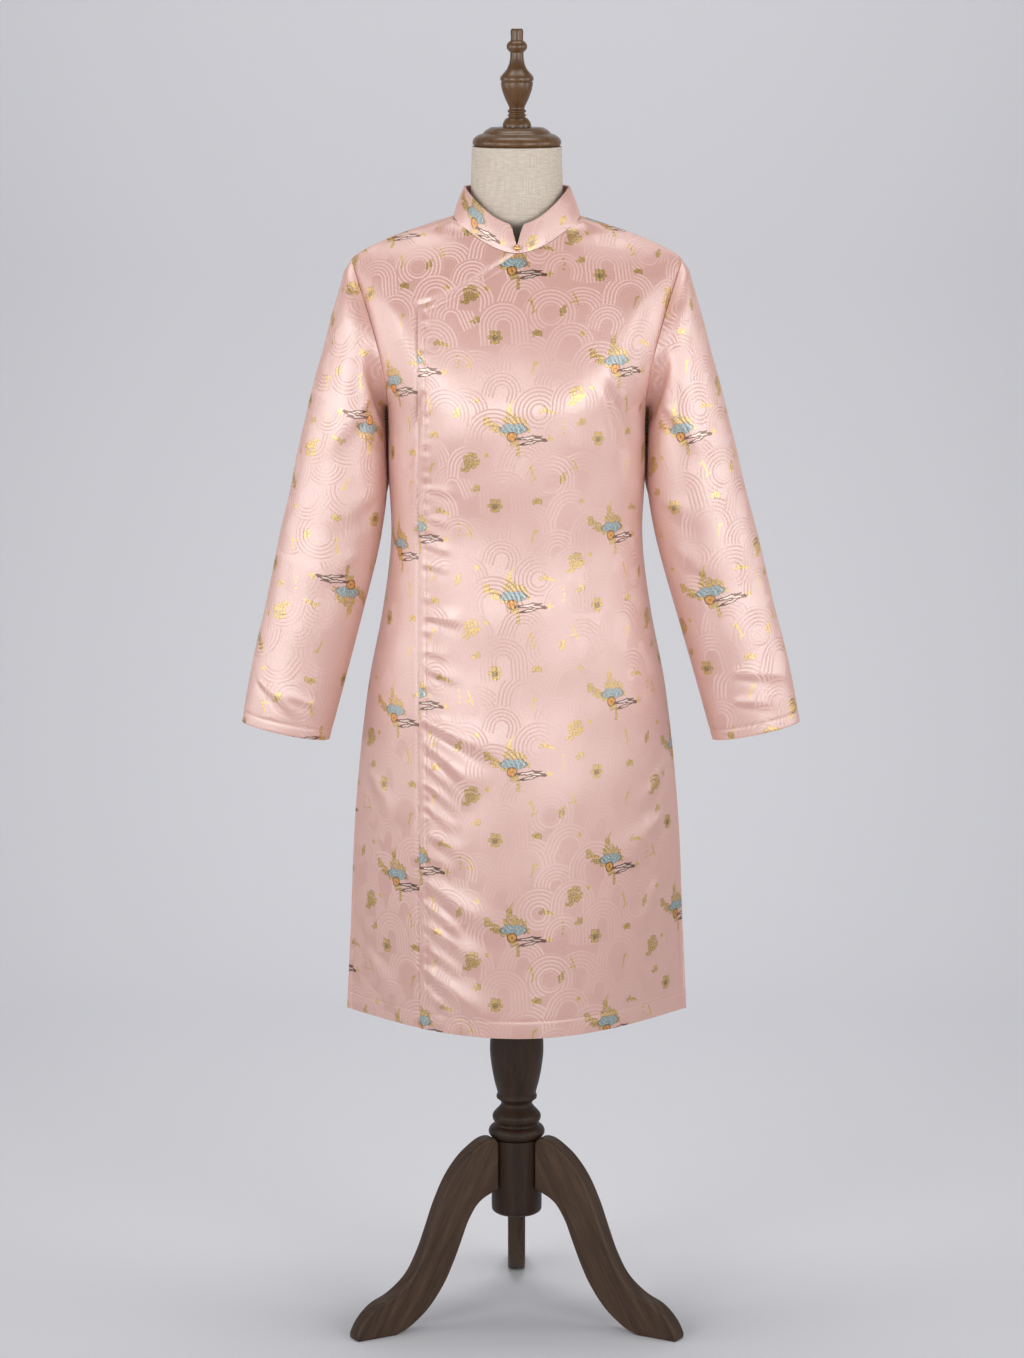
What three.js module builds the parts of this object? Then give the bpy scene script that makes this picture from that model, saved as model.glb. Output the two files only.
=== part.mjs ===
// A knee-length brocade ao dai on a dress form with a turned wooden stand.
// Millimetres, +Z up, the wearer faces -Y, and the wearer's right is -X.
import * as THREE from "three";

// ---------------------------------------------------------------- driving dimensions
const CLOTH = 1.5; // brocade with its lining
const SEAM_GAP = 0.2; // each side of a seam stops this far from it
const HEM_Z = 389;
const UNDERARM_Z = 1136;
const SHOULDER_POINT = { x: 198, z: 1309 };
const NECK_SIDE = { x: 76, z: 1362 };
const NECK_FRONT_Z = 1322;
const NECK_CURVE = 1.8; // how the neckline climbs from the throat: 1 is a plain V, 2 a deep U
const SHOULDER_CURVE = 0.7; // below 1 the shoulder line arches upwards

const OPENING = { x: -117, z: 1262, curve: 1.25 }; // where the slanted edge meets the straight one
const UNDERLAP = 30; // how far the under front runs on behind the edge
const LAP_GAP = 2.6;
const SLIT = { top: 800, width: 5 }; // side slits, widest at the hem

const COLLAR = { topX: 63, topFront: 65, topBack: 60, frontZ: 1355, sideZ: 1397, lift: 2.2 };
const NOTCH = { closed: 0.27, halfWidth: 6.8 }; // the V at the throat, from this share of the height
const BUTTON = { radius: 3.6, seat: 0.2 }; // it sits at this share of the collar's height

// The garment's level sections: half is the half width, front and back the depths at the centre,
// bow and round the two powers of the outline, depth * (1 - (x / half) ^ bow) ^ round.
const SECTIONS = [
  { z: 389, half: 209, front: 155, back: 132, bow: 2.0, round: 1.1 },
  { z: 490, half: 204, front: 151, back: 131, bow: 2.0, round: 0.95 },
  { z: 640, half: 197, front: 145, back: 129, bow: 2.0, round: 0.8 },
  { z: 790, half: 181, front: 133, back: 123, bow: 2.1, round: 0.65 },
  { z: 890, half: 162, front: 128, back: 108, bow: 2.2, round: 0.55 },
  { z: 975, half: 152, front: 125, back: 96, bow: 2.3, round: 0.5 },
  { z: 1060, half: 155, front: 129, back: 103, bow: 2.4, round: 0.5 },
  { z: 1136, half: 156, front: 132, back: 111, bow: 2.4, round: 0.5 },
  { z: 1163, half: 166, front: 129, back: 113, bow: 2.4, round: 0.5 },
  { z: 1209, half: 182, front: 118, back: 113, bow: 2.3, round: 0.5 },
  { z: 1257, half: 195, front: 101, back: 106, bow: 2.1, round: 0.55 },
  { z: 1285, half: 199, front: 88, back: 97, bow: 1.9, round: 0.62 },
  { z: 1309, half: 198, front: 78, back: 86, bow: 1.7, round: 0.7 },
  { z: 1325, half: 178, front: 72, back: 78, bow: 1.45, round: 0.85 },
  { z: 1345, half: 125, front: 65, back: 68, bow: 1.5, round: 0.9 },
  { z: 1362, half: 76, front: 60, back: 60, bow: 2.0, round: 0.5 },
];

// Where the armhole seam cuts the front and back, from the underarm to the shoulder point.
const ARMHOLE = [
  { z: 1136, x: 155 },
  { z: 1163, x: 157 },
  { z: 1209, x: 166 },
  { z: 1257, x: 180 },
  { z: 1309, x: 198 },
];

const BUST = { x: 82, z: 1128, radius: 62, rise: 5 };

// Folds in the cloth as soft ridges (rise above 0) and troughs, from one point to another.
const FRONT_FOLDS = [
  { x0: 150, z0: 1268, x1: 86, z1: 1140, width: 20, rise: 4 }, // pull from the left armhole
  { x0: -150, z0: 1262, x1: -92, z1: 1150, width: 20, rise: 4 }, // pull from the right armhole
  { x0: 106, z0: 1168, x1: 146, z1: 1045, width: 14, rise: -5 }, // left side dart
  { x0: -112, z0: 1150, x1: -138, z1: 1020, width: 14, rise: -5 }, // right side dart
  { x0: -95, z0: 790, x1: -28, z1: 748, width: 16, rise: 4.5 }, // slanting folds from the front edge
  { x0: -98, z0: 733, x1: -40, z1: 682, width: 15, rise: 4.5 },
  { x0: -104, z0: 568, x1: -28, z1: 518, width: 16, rise: 4 },
  { x0: -106, z0: 462, x1: -44, z1: 412, width: 17, rise: 5 },
  { x0: 176, z0: 640, x1: 128, z1: 592, width: 18, rise: 4 }, // left skirt, by the slit
  { x0: -186, z0: 470, x1: -150, z1: 420, width: 16, rise: 4 },
];
const BACK_FOLDS = [
  { x0: 66, z0: 1085, x1: 70, z1: 850, width: 14, rise: -5 }, // back waist darts
  { x0: -66, z0: 1085, x1: -70, z1: 850, width: 14, rise: -5 },
  { x0: 158, z0: 1250, x1: 96, z1: 1160, width: 20, rise: 4 },
  { x0: -158, z0: 1245, x1: -90, z1: 1165, width: 20, rise: 4 },
  { x0: -40, z0: 760, x1: -62, z1: 420, width: 24, rise: 5 }, // long soft folds of the skirt
  { x0: 58, z0: 720, x1: 84, z1: 410, width: 24, rise: 5 },
  { x0: 140, z0: 700, x1: 156, z1: 440, width: 20, rise: 4 },
];

// A sleeve hangs from the armhole as rings. Each ring spans from its outer edge (over the arm)
// to its inner edge (under it); deep is the half depth and fore how far forward its middle sits.
const SLEEVE_RINGS = [
  { outX: 208, outZ: 1289, inX: 157.8, inZ: 1131, deep: 51, fore: 1 },
  { outX: 220, outZ: 1252, inX: 158.6, inZ: 1119, deep: 53, fore: 2 },
  { outX: 231, outZ: 1212, inX: 158, inZ: 1103, deep: 54, fore: 4 },
  { outX: 242, outZ: 1172, inX: 157.3, inZ: 1085, deep: 54, fore: 5 },
  { outX: 254, outZ: 1124, inX: 156.6, inZ: 1062, deep: 53, fore: 6 },
  { outX: 266, outZ: 1076, inX: 157, inZ: 1030, deep: 52, fore: 7 },
  { outX: 278, outZ: 1022, inX: 163.2, inZ: 988, deep: 51, fore: 8 },
  { outX: 291, outZ: 968, inX: 171.5, inZ: 950, deep: 49, fore: 10 },
  { outX: 303, outZ: 914, inX: 186.8, inZ: 894, deep: 46, fore: 13 },
  { outX: 316, outZ: 860, inX: 201.8, inZ: 840, deep: 43, fore: 17 },
  { outX: 328, outZ: 806, inX: 216.8, inZ: 786, deep: 40, fore: 21 },
  { outX: 338, outZ: 753, inX: 232, inZ: 731, deep: 37, fore: 25 },
];
const SLEEVE_SWAY = { left: 5, right: -5 }; // how much further out each cuff hangs, from below the underarm on
const SWAY_START = 3; // the last ring without any

// The dress form, in the same terms as the garment's sections, and clear of the cloth.
const FORM_SECTIONS = [
  { z: 700, half: 146, front: 108, back: 100, bow: 2.2, round: 0.5 },
  { z: 712, half: 152, front: 113, back: 105, bow: 2.2, round: 0.5 },
  { z: 800, half: 160, front: 118, back: 110, bow: 2.2, round: 0.5 },
  { z: 890, half: 146, front: 108, back: 96, bow: 2.2, round: 0.5 },
  { z: 975, half: 126, front: 92, back: 78, bow: 2.2, round: 0.5 },
  { z: 1060, half: 136, front: 108, back: 90, bow: 2.3, round: 0.5 },
  { z: 1136, half: 145, front: 121, back: 101, bow: 2.4, round: 0.5 },
  { z: 1209, half: 160, front: 107, back: 102, bow: 2.3, round: 0.5 },
  { z: 1257, half: 172, front: 90, back: 95, bow: 2.1, round: 0.52 },
  { z: 1285, half: 173, front: 79, back: 86, bow: 1.9, round: 0.6 },
  { z: 1309, half: 168, front: 68, back: 76, bow: 1.7, round: 0.68 },
  { z: 1325, half: 145, front: 62, back: 68, bow: 1.5, round: 0.8 },
  { z: 1340, half: 113, front: 57, back: 59, bow: 1.4, round: 0.85 },
  { z: 1352, half: 78, front: 54, back: 55, bow: 1.6, round: 0.75 },
  { z: 1364, half: 61, front: 53.5, back: 54, bow: 1.9, round: 0.52 },
  { z: 1380, half: 56, front: 54, back: 54, bow: 2.0, round: 0.5 },
  { z: 1410, half: 54.5, front: 54, back: 54, bow: 2.0, round: 0.5 },
  { z: 1444, half: 53.5, front: 53.5, back: 53.5, bow: 2.0, round: 0.5 },
];

// Turned wood, as radius r at height z, from the bottom up.
const CAP_PROFILE = [
  { r: 50.5, z: 1444.5 },
  { r: 52.6, z: 1447 },
  { r: 52.6, z: 1451 },
  { r: 50.0, z: 1455 },
  { r: 44.0, z: 1458.5 },
  { r: 41.5, z: 1459 },
  { r: 37.5, z: 1463 },
  { r: 31.5, z: 1466.5 },
];
const FINIAL_PROFILE = [
  { r: 17.0, z: 1467 },
  { r: 16.8, z: 1473 },
  { r: 14.5, z: 1477.5 },
  { r: 9.8, z: 1480 },
  { r: 11.2, z: 1482 },
  { r: 9.2, z: 1484.5 },
  { r: 11.0, z: 1487.5 },
  { r: 9.8, z: 1490 },
  { r: 13.2, z: 1499 },
  { r: 17.0, z: 1508 },
  { r: 19.2, z: 1520 },
  { r: 19.8, z: 1526 },
  { r: 18.0, z: 1529.5 },
  { r: 13.5, z: 1534 },
  { r: 10.2, z: 1540 },
  { r: 8.2, z: 1548 },
  { r: 7.8, z: 1555 },
  { r: 11.2, z: 1558 },
  { r: 12.0, z: 1562 },
  { r: 11.2, z: 1566 },
  { r: 8.2, z: 1568.5 },
  { r: 7.8, z: 1580 },
  { r: 6.6, z: 1583 },
];
const POST_PROFILE = [
  { r: 29.5, z: 225 },
  { r: 33.8, z: 229 },
  { r: 34.6, z: 234 },
  { r: 32.0, z: 239 },
  { r: 27.2, z: 244 },
  { r: 29.6, z: 249 },
  { r: 29.6, z: 254 },
  { r: 26.0, z: 259 },
  { r: 21.8, z: 263.5 },
  { r: 19.2, z: 268 },
  { r: 21.6, z: 273 },
  { r: 24.6, z: 276 },
  { r: 24.6, z: 279 },
  { r: 24.0, z: 283 },
  { r: 27.4, z: 296 },
  { r: 31.0, z: 315 },
  { r: 33.0, z: 334 },
  { r: 32.6, z: 350 },
  { r: 30.0, z: 372 },
  { r: 24.0, z: 400 },
  { r: 19.0, z: 425 },
  { r: 19.0, z: 672 },
  { r: 36.0, z: 684 },
  { r: 36.0, z: 699.5 },
];
const HUB_PROFILE = [
  { r: 26.0, z: 129 },
  { r: 30.0, z: 132 },
  { r: 31.0, z: 137 },
  { r: 31.0, z: 224.5 },
];

// One leg as seen from its side: r outward from the hub's axis.
const LEG_THICKNESS = 22;
const LEG_ROUNDING = 3;
const LEG_TOP = [
  { r: 31.3, z: 165 }, // flat against the hub
  { r: 31.3, z: 223.5 },
  { r: 36.5, z: 229.5 },
  { r: 48, z: 229.5 },
  { r: 60, z: 224 },
  { r: 79, z: 210 },
  { r: 98, z: 187 },
  { r: 114, z: 156 },
  { r: 126, z: 125 },
  { r: 138, z: 96 },
  { r: 154, z: 70 },
  { r: 178, z: 51 },
  { r: 203, z: 40 },
  { r: 220, z: 25 },
  { r: 230, z: 8 },
  { r: 230, z: 0 },
];
const LEG_UNDERSIDE = [
  { r: 176, z: 0 },
  { r: 158, z: 7 },
  { r: 132, z: 26 },
  { r: 110, z: 53 },
  { r: 95, z: 81 },
  { r: 83, z: 109 },
  { r: 73, z: 132 },
  { r: 58, z: 152 },
];

// ---------------------------------------------------------------- sizes between the sections
const clamp = (value, low, high) => Math.min(high, Math.max(low, value));
const mix = (a, b, share) => a + (b - a) * share;
const smooth = (share) => {
  const t = clamp(share, 0, 1);
  return t * t * (3 - 2 * t);
};

// The value of a column at a height, on a smooth curve through a table's rows.
function sizeAt(table, column, z) {
  const last = table.length - 1;
  const i = clamp(table.findIndex((row) => row.z > z) - 1, 0, last - 1);
  const k = z >= table[last].z ? last - 1 : i;
  const [a, b] = [table[k], table[k + 1]];
  const slope = (p, q) => (table[q][column] - table[p][column]) / (table[q].z - table[p].z);
  const span = b.z - a.z;
  const t = clamp((z - a.z) / span, 0, 1);
  const startSlope = slope(Math.max(k - 1, 0), k + 1) * span;
  const endSlope = slope(k, Math.min(k + 2, last)) * span;
  const t2 = t * t;
  const t3 = t2 * t;
  return (
    (2 * t3 - 3 * t2 + 1) * a[column] +
    (t3 - 2 * t2 + t) * startSlope +
    (3 * t2 - 2 * t3) * b[column] +
    (t3 - t2) * endSlope
  );
}

// The shoulder line's height above a point across, and the reverse.
const SHOULDER_RUN = SHOULDER_POINT.x - NECK_SIDE.x;
const SHOULDER_RISE = NECK_SIDE.z - SHOULDER_POINT.z;
const shoulderZ = (x) =>
  SHOULDER_POINT.z + SHOULDER_RISE * clamp((SHOULDER_POINT.x - x) / SHOULDER_RUN, 0, 1) ** SHOULDER_CURVE;
const shoulderX = (z) =>
  SHOULDER_POINT.x - SHOULDER_RUN * clamp((z - SHOULDER_POINT.z) / SHOULDER_RISE, 0, 1) ** (1 / SHOULDER_CURVE);

const halfWidth = (z) => (z > SHOULDER_POINT.z ? shoulderX(z) : sizeAt(SECTIONS, "half", z));
const seamX = (z) => (z < UNDERARM_Z ? halfWidth(z) : sizeAt(ARMHOLE, "x", Math.min(z, SHOULDER_POINT.z)));

// ---------------------------------------------------------------- the garment's surface
function foldRise(folds, x, z) {
  let rise = 0;
  for (const fold of folds) {
    const along = new THREE.Vector2(fold.x1 - fold.x0, fold.z1 - fold.z0);
    const from = new THREE.Vector2(x - fold.x0, z - fold.z0);
    const share = from.dot(along) / along.lengthSq();
    const off = Math.abs(from.cross(along)) / along.length();
    const ends = smooth((share + 0.3) / 0.6) * smooth((1.3 - share) / 0.6);
    rise += fold.rise * ends * Math.exp(-((off / fold.width) ** 2));
  }
  return rise;
}

// How far the cloth stands from the side seams' plane, in front ("front") or behind ("back").
function depthAt(side, x, z) {
  const reach = Math.min(1, Math.abs(x) / halfWidth(z)) ** sizeAt(SECTIONS, "bow", z);
  const fullness = (1 - reach) ** sizeAt(SECTIONS, "round", z);
  const plain = sizeAt(SECTIONS, side, z) * fullness;
  const folds = foldRise(side === "front" ? FRONT_FOLDS : BACK_FOLDS, x, z) * smooth(fullness * 3);
  if (side === "back") return plain + folds;
  const fromBust = Math.hypot(Math.abs(x) - BUST.x, z - BUST.z) / BUST.radius;
  return plain + folds + BUST.rise * Math.exp(-(fromBust ** 2));
}

const slitAt = (z) => (SLIT.width / 2) * smooth((SLIT.top - z) / (SLIT.top - HEM_Z));

function frontPoint(x, z) {
  return new THREE.Vector3(x, Math.min(-depthAt("front", x, z), -SEAM_GAP - slitAt(z)), z);
}
function backPoint(x, z) {
  return new THREE.Vector3(x, Math.max(depthAt("back", x, z), SEAM_GAP + slitAt(z)), z);
}

// ---------------------------------------------------------------- the top edges of the panels
const neckRise = (share) => clamp(Math.abs(share), 0, 1) ** NECK_CURVE;
const neckFrontZ = (x) => mix(NECK_FRONT_Z, NECK_SIDE.z, neckRise(x / NECK_SIDE.x));
const frontTopZ = (x) => (Math.abs(x) < NECK_SIDE.x ? neckFrontZ(x) : shoulderZ(Math.abs(x)));
const backTopZ = (x) => (Math.abs(x) < NECK_SIDE.x ? NECK_SIDE.z : shoulderZ(Math.abs(x)));
const openingZ = (x) => {
  const share = clamp((x - OPENING.x) / -OPENING.x, 0, 1);
  return mix(OPENING.z, NECK_FRONT_Z, share ** OPENING.curve);
};
const overTopZ = (x) => (x < 0 ? openingZ(x) : frontTopZ(x));

// ---------------------------------------------------------------- meshes from grids of points
const solidMaterial = (color, roughness, metalness = 0) =>
  new THREE.MeshStandardMaterial({ color, roughness, metalness });
const brocade = solidMaterial(0xe3b3aa, 0.45);
const linen = solidMaterial(0xd9cfbe, 0.9);
const walnut = solidMaterial(0x54402f, 0.5);
const brass = solidMaterial(0xc9964a, 0.35, 0.8);

function meshOf(name, points, triangles, material) {
  const geometry = new THREE.BufferGeometry();
  geometry.setAttribute("position", new THREE.Float32BufferAttribute(points.flatMap((p) => [p.x, p.y, p.z]), 3));
  geometry.setIndex(triangles);
  geometry.computeVertexNormals();
  const mesh = new THREE.Mesh(geometry, material);
  mesh.name = name;
  return mesh;
}

// Outward directions for a grid whose columns run down the cloth. Seen from outside, they go left to right.
function gridNormals(grid, wraps) {
  const columns = grid.length;
  const rows = grid[0].length;
  const at = (i, j) => grid[wraps ? (i + columns) % columns : clamp(i, 0, columns - 1)][clamp(j, 0, rows - 1)];
  return grid.map((column, i) =>
    column.map((_, j) => {
      const across = at(i + 1, j).clone().sub(at(i - 1, j));
      const down = at(i, j + 1).clone().sub(at(i, j - 1));
      return down.cross(across).normalize();
    }),
  );
}

// The seam between body and sleeve is cut square across: its walls end in a surface parallel to y.
function alongArmhole(normal, side, z) {
  const slope = seamX(z + 1) - seamX(z - 1);
  const cut = new THREE.Vector3(side, 0, -slope / 2).normalize();
  return normal.addScaledVector(cut, -normal.dot(cut)).normalize();
}

// A closed wall of cloth: the outer face is the grid, the inner one lies a cloth's thickness inside.
function clothWall(name, grid, normals, wraps, material) {
  const columns = grid.length;
  const rows = grid[0].length;
  const outer = grid.flat();
  const inner = grid.flatMap((column, i) =>
    column.map((p, j) => p.clone().addScaledVector(normals[i][j], -CLOTH)),
  );
  const id = (i, j) => (i % columns) * rows + j;
  const shift = columns * rows;
  const triangles = [];
  const quad = (a, b, c, d) => triangles.push(a, b, c, a, c, d);
  const spans = wraps ? columns : columns - 1;
  for (let i = 0; i < spans; i++) {
    for (let j = 0; j < rows - 1; j++) {
      const [a, b, c, d] = [id(i, j), id(i, j + 1), id(i + 1, j + 1), id(i + 1, j)];
      quad(a, b, c, d);
      quad(d + shift, c + shift, b + shift, a + shift);
    }
    quad(id(i, 0), id(i + 1, 0), id(i + 1, 0) + shift, id(i, 0) + shift);
    quad(id(i + 1, rows - 1), id(i, rows - 1), id(i, rows - 1) + shift, id(i + 1, rows - 1) + shift);
  }
  if (!wraps)
    for (let j = 0; j < rows - 1; j++) {
      const end = columns - 1;
      quad(id(0, j + 1), id(0, j), id(0, j) + shift, id(0, j + 1) + shift);
      quad(id(end, j), id(end, j + 1), id(end, j + 1) + shift, id(end, j) + shift);
    }
  return meshOf(name, [...outer, ...inner], triangles, material);
}

// Shares from a to b in a number of steps, a left out; ease draws them towards one end.
const steps = (a, b, count, ease = (t) => t) =>
  Array.from({ length: count }, (_, i) => mix(a, b, ease((i + 1) / count)));
const towardsEnd = (t) => Math.sin((t * Math.PI) / 2);
const towardsStart = (t) => 1 - Math.cos((t * Math.PI) / 2);

// A body panel. Each column runs from the top edge to the hem, at a share of the way from the edge
// at fromX to the one at toX. Edges on a seam are cut square to it, and tuck moves the cloth inwards.
function bodyPanel(name, { shares, rows, fromX, toX, topZ, place, tuck = () => 0 }) {
  const acrossAt = (share, z) => mix(fromX(z), toX(z), share);
  const grid = shares.map((share) => {
    let [low, high] = [UNDERARM_Z, NECK_SIDE.z + 1];
    for (let i = 0; i < 40; i++) {
      const z = (low + high) / 2;
      if (z < topZ(acrossAt(share, z))) low = z;
      else high = z;
    }
    return rowHeights(low, rows).map((z) => place(acrossAt(share, z), z));
  });
  const normals = gridNormals(grid, false);
  grid.forEach((column, i) =>
    column.forEach((p, j) => {
      const normal = normals[i][j];
      const onSideSeam = Math.abs(p.y) <= SEAM_GAP + slitAt(p.z) + 1e-6;
      const onArmhole = p.z > UNDERARM_Z && Math.abs(p.x) > seamX(p.z) - 1e-6;
      if (onSideSeam) normal.setY(0).normalize();
      else if (onArmhole) alongArmhole(normal, Math.sign(p.x), p.z);
      p.addScaledVector(normal, -tuck(p.x, p.z));
    }),
  );
  return clothWall(name, grid, normals, false, brocade);
}

// Heights from a column's top to the hem: close together at the top, then even.
function rowHeights(top, rows) {
  const near = Math.round(rows * 0.3);
  const chest = mix(UNDERARM_Z, top, 0.35);
  return [top, ...steps(top, chest, near), ...steps(chest, HEM_Z, rows - near)];
}

// ---------------------------------------------------------------- the pieces of the garment
function overFront() {
  const centre = -OPENING.x / (SHOULDER_POINT.x - OPENING.x);
  const neckSide = (NECK_SIDE.x - OPENING.x) / (SHOULDER_POINT.x - OPENING.x);
  return bodyPanel("over_front", {
    shares: [0, ...steps(0, centre, 7), ...steps(centre, neckSide, 5, towardsEnd), ...steps(neckSide, 1, 7, towardsEnd)],
    rows: 38,
    fromX: () => OPENING.x,
    toX: seamX,
    topZ: overTopZ,
    place: frontPoint,
  });
}

function underFront() {
  const slantFoot = OPENING.z - UNDERLAP;
  const innerX = (z) => mix(OPENING.x + UNDERLAP, 0, clamp((z - slantFoot) / (NECK_FRONT_Z - slantFoot), 0, 1));
  const neckSide = 1 - NECK_SIDE.x / SHOULDER_POINT.x;
  return bodyPanel("under_front", {
    shares: [0, ...steps(0, neckSide, 6, towardsStart), ...steps(neckSide, 1, 5, towardsStart)],
    rows: 28,
    fromX: (z) => -seamX(z),
    toX: innerX,
    topZ: frontTopZ,
    place: frontPoint,
    tuck: (x, z) => {
      const behindStraight = smooth((x - OPENING.x + 40) / 26);
      const behindSlant = smooth((openingZ(x) - z + 38) / 24);
      return (CLOTH + LAP_GAP) * behindStraight * behindSlant;
    },
  });
}

function back() {
  const neckSide = NECK_SIDE.x / SHOULDER_POINT.x;
  const half = [...steps(0, neckSide, 5, towardsEnd), ...steps(neckSide, 1, 5, towardsEnd)];
  const shares = [...half.map((share) => -share).reverse(), 0, ...half].map((share) => (share + 1) / 2);
  return bodyPanel("back", {
    shares,
    rows: 26,
    fromX: seamX,
    toX: (z) => -seamX(z),
    topZ: backTopZ,
    place: backPoint,
  });
}

// side is 1 for the wearer's left sleeve (+X) and -1 for the right one.
function sleeve(name, side, sway) {
  const around = 20;
  const turns = Array.from({ length: around }, (_, i) => (i / around) * Math.PI * 2);
  const armhole = turns.map((turn) => {
    const z = mix(UNDERARM_Z, SHOULDER_POINT.z, (1 + Math.cos(turn)) / 2);
    const x = seamX(z);
    const toBack = side * Math.sin(turn);
    const depth = Math.abs(toBack) < 1e-6 ? 0 : depthAt(toBack > 0 ? "back" : "front", x, z);
    return new THREE.Vector3(side * (x + 3 * SEAM_GAP), Math.sign(toBack) * depth, z);
  });
  const rings = SLEEVE_RINGS.map((ring, k) => {
    const out = sway * smooth((k - SWAY_START) / (SLEEVE_RINGS.length - 1 - SWAY_START));
    return turns.map((turn) => {
      const share = (1 + Math.cos(turn)) / 2;
      const x = mix(ring.inX, ring.outX, share) + out;
      return new THREE.Vector3(side * x, side * ring.deep * Math.sin(turn) - ring.fore, mix(ring.inZ, ring.outZ, share));
    });
  });
  const grid = turns.map((_, i) => [armhole[i], ...rings.map((ring) => ring[i])]);
  const normals = gridNormals(grid, true);
  normals.forEach((column, i) => alongArmhole(column[0], side, armhole[i].z));
  return clothWall(name, grid, normals, true, brocade);
}

function collar() {
  const around = 40;
  const heights = [1, 0.64, NOTCH.closed, 0];
  const grid = Array.from({ length: around + 1 }, (_, i) =>
    heights.map((height) => {
      const open = SEAM_GAP + NOTCH.halfWidth * clamp((height - NOTCH.closed) / (1 - NOTCH.closed), 0, 1);
      const end = Math.asin(open / mix(NECK_SIDE.x, COLLAR.topX, height));
      const turn = mix(end, 2 * Math.PI - end, i / around);
      const inFront = Math.cos(turn) > 0;
      const x = NECK_SIDE.x * Math.sin(turn);
      const rise = inFront ? neckRise(Math.sin(turn)) : 1;
      const z = mix(NECK_FRONT_Z, NECK_SIDE.z, rise);
      const foot = inFront ? frontPoint(x, z) : backPoint(x, z);
      foot.z += COLLAR.lift;
      const topDepth = inFront ? COLLAR.topFront : COLLAR.topBack;
      const top = new THREE.Vector3(
        COLLAR.topX * Math.sin(turn),
        -topDepth * Math.cos(turn),
        mix(COLLAR.frontZ, COLLAR.sideZ, rise),
      );
      return top.clone().sub(foot).multiplyScalar(height).add(foot);
    }),
  );
  return clothWall("collar", grid, gridNormals(grid, false), false, brocade);
}

function button() {
  const geometry = new THREE.IcosahedronGeometry(BUTTON.radius, 2);
  const mesh = new THREE.Mesh(geometry, brass);
  mesh.name = "collar_button";
  const z = mix(NECK_FRONT_Z, COLLAR.frontZ, BUTTON.seat);
  mesh.position.set(0, -sizeAt(SECTIONS, "front", NECK_FRONT_Z) - BUTTON.radius - 0.4, z);
  return mesh;
}

// ---------------------------------------------------------------- the dress form and its stand
function dressForm() {
  const around = 28;
  const grid = Array.from({ length: around }, (_, i) => {
    const turn = (i / around) * Math.PI * 2;
    return [...FORM_SECTIONS].reverse().map((section) => {
      const across = Math.sign(Math.sin(turn)) * Math.abs(Math.sin(turn)) ** (2 / section.bow);
      const deep = Math.sign(Math.cos(turn)) * Math.abs(Math.cos(turn)) ** (2 * section.round);
      const depth = deep > 0 ? section.front : section.back;
      return new THREE.Vector3(section.half * across, -depth * deep, section.z);
    });
  });
  const rows = FORM_SECTIONS.length;
  const points = [...grid.flat(), new THREE.Vector3(0, 0, FORM_SECTIONS[rows - 1].z), new THREE.Vector3(0, 0, FORM_SECTIONS[0].z)];
  const [topCentre, bottomCentre] = [points.length - 2, points.length - 1];
  const triangles = [];
  for (let i = 0; i < around; i++) {
    const [a, b] = [i * rows, ((i + 1) % around) * rows];
    for (let j = 0; j < rows - 1; j++) triangles.push(a + j, a + j + 1, b + j + 1, a + j, b + j + 1, b + j);
    triangles.push(topCentre, a, b, bottomCentre, b + rows - 1, a + rows - 1);
  }
  return meshOf("form_body", points, triangles, linen);
}

function turned(name, profile, segments) {
  const outline = profile.map(({ r, z }) => new THREE.Vector2(r, z));
  outline.unshift(new THREE.Vector2(0, profile[0].z));
  outline.push(new THREE.Vector2(0, profile[profile.length - 1].z));
  const geometry = new THREE.LatheGeometry(outline, segments);
  geometry.rotateX(Math.PI / 2);
  const mesh = new THREE.Mesh(geometry, walnut);
  mesh.name = name;
  return mesh;
}

function leg(name, heading) {
  const shape = new THREE.Shape([...LEG_TOP, ...LEG_UNDERSIDE].map(({ r, z }) => new THREE.Vector2(r, z)));
  const geometry = new THREE.ExtrudeGeometry(shape, {
    depth: LEG_THICKNESS - 2 * LEG_ROUNDING,
    bevelEnabled: true,
    bevelThickness: LEG_ROUNDING,
    bevelSize: LEG_ROUNDING,
    bevelOffset: -LEG_ROUNDING,
    bevelSegments: 1,
  });
  geometry.translate(0, 0, LEG_ROUNDING - LEG_THICKNESS / 2);
  geometry.rotateX(Math.PI / 2);
  const mesh = new THREE.Mesh(geometry, walnut);
  mesh.name = name;
  mesh.rotation.z = THREE.MathUtils.degToRad(heading);
  return mesh;
}

// ---------------------------------------------------------------- the whole
const part = new THREE.Group();
const garment = new THREE.Group();
const stand = new THREE.Group();
garment.add(overFront(), underFront(), back());
garment.add(sleeve("sleeve_left", 1, SLEEVE_SWAY.left), sleeve("sleeve_right", -1, SLEEVE_SWAY.right));
garment.add(collar(), button());
stand.add(dressForm());
stand.add(turned("neck_cap", CAP_PROFILE, 24), turned("finial", FINIAL_PROFILE, 16));
stand.add(turned("post", POST_PROFILE, 20), turned("hub", HUB_PROFILE, 20));
stand.add(leg("leg_front_right", 210), leg("leg_front_left", 330), leg("leg_back", 90));
part.add(garment, stand);

// The origin is the middle of the footprint, on the floor.
const bounds = new THREE.Box3().setFromObject(part);
const middle = bounds.getCenter(new THREE.Vector3());
garment.position.set(-middle.x, -middle.y, 0);
stand.position.copy(garment.position);

export default part;
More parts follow.
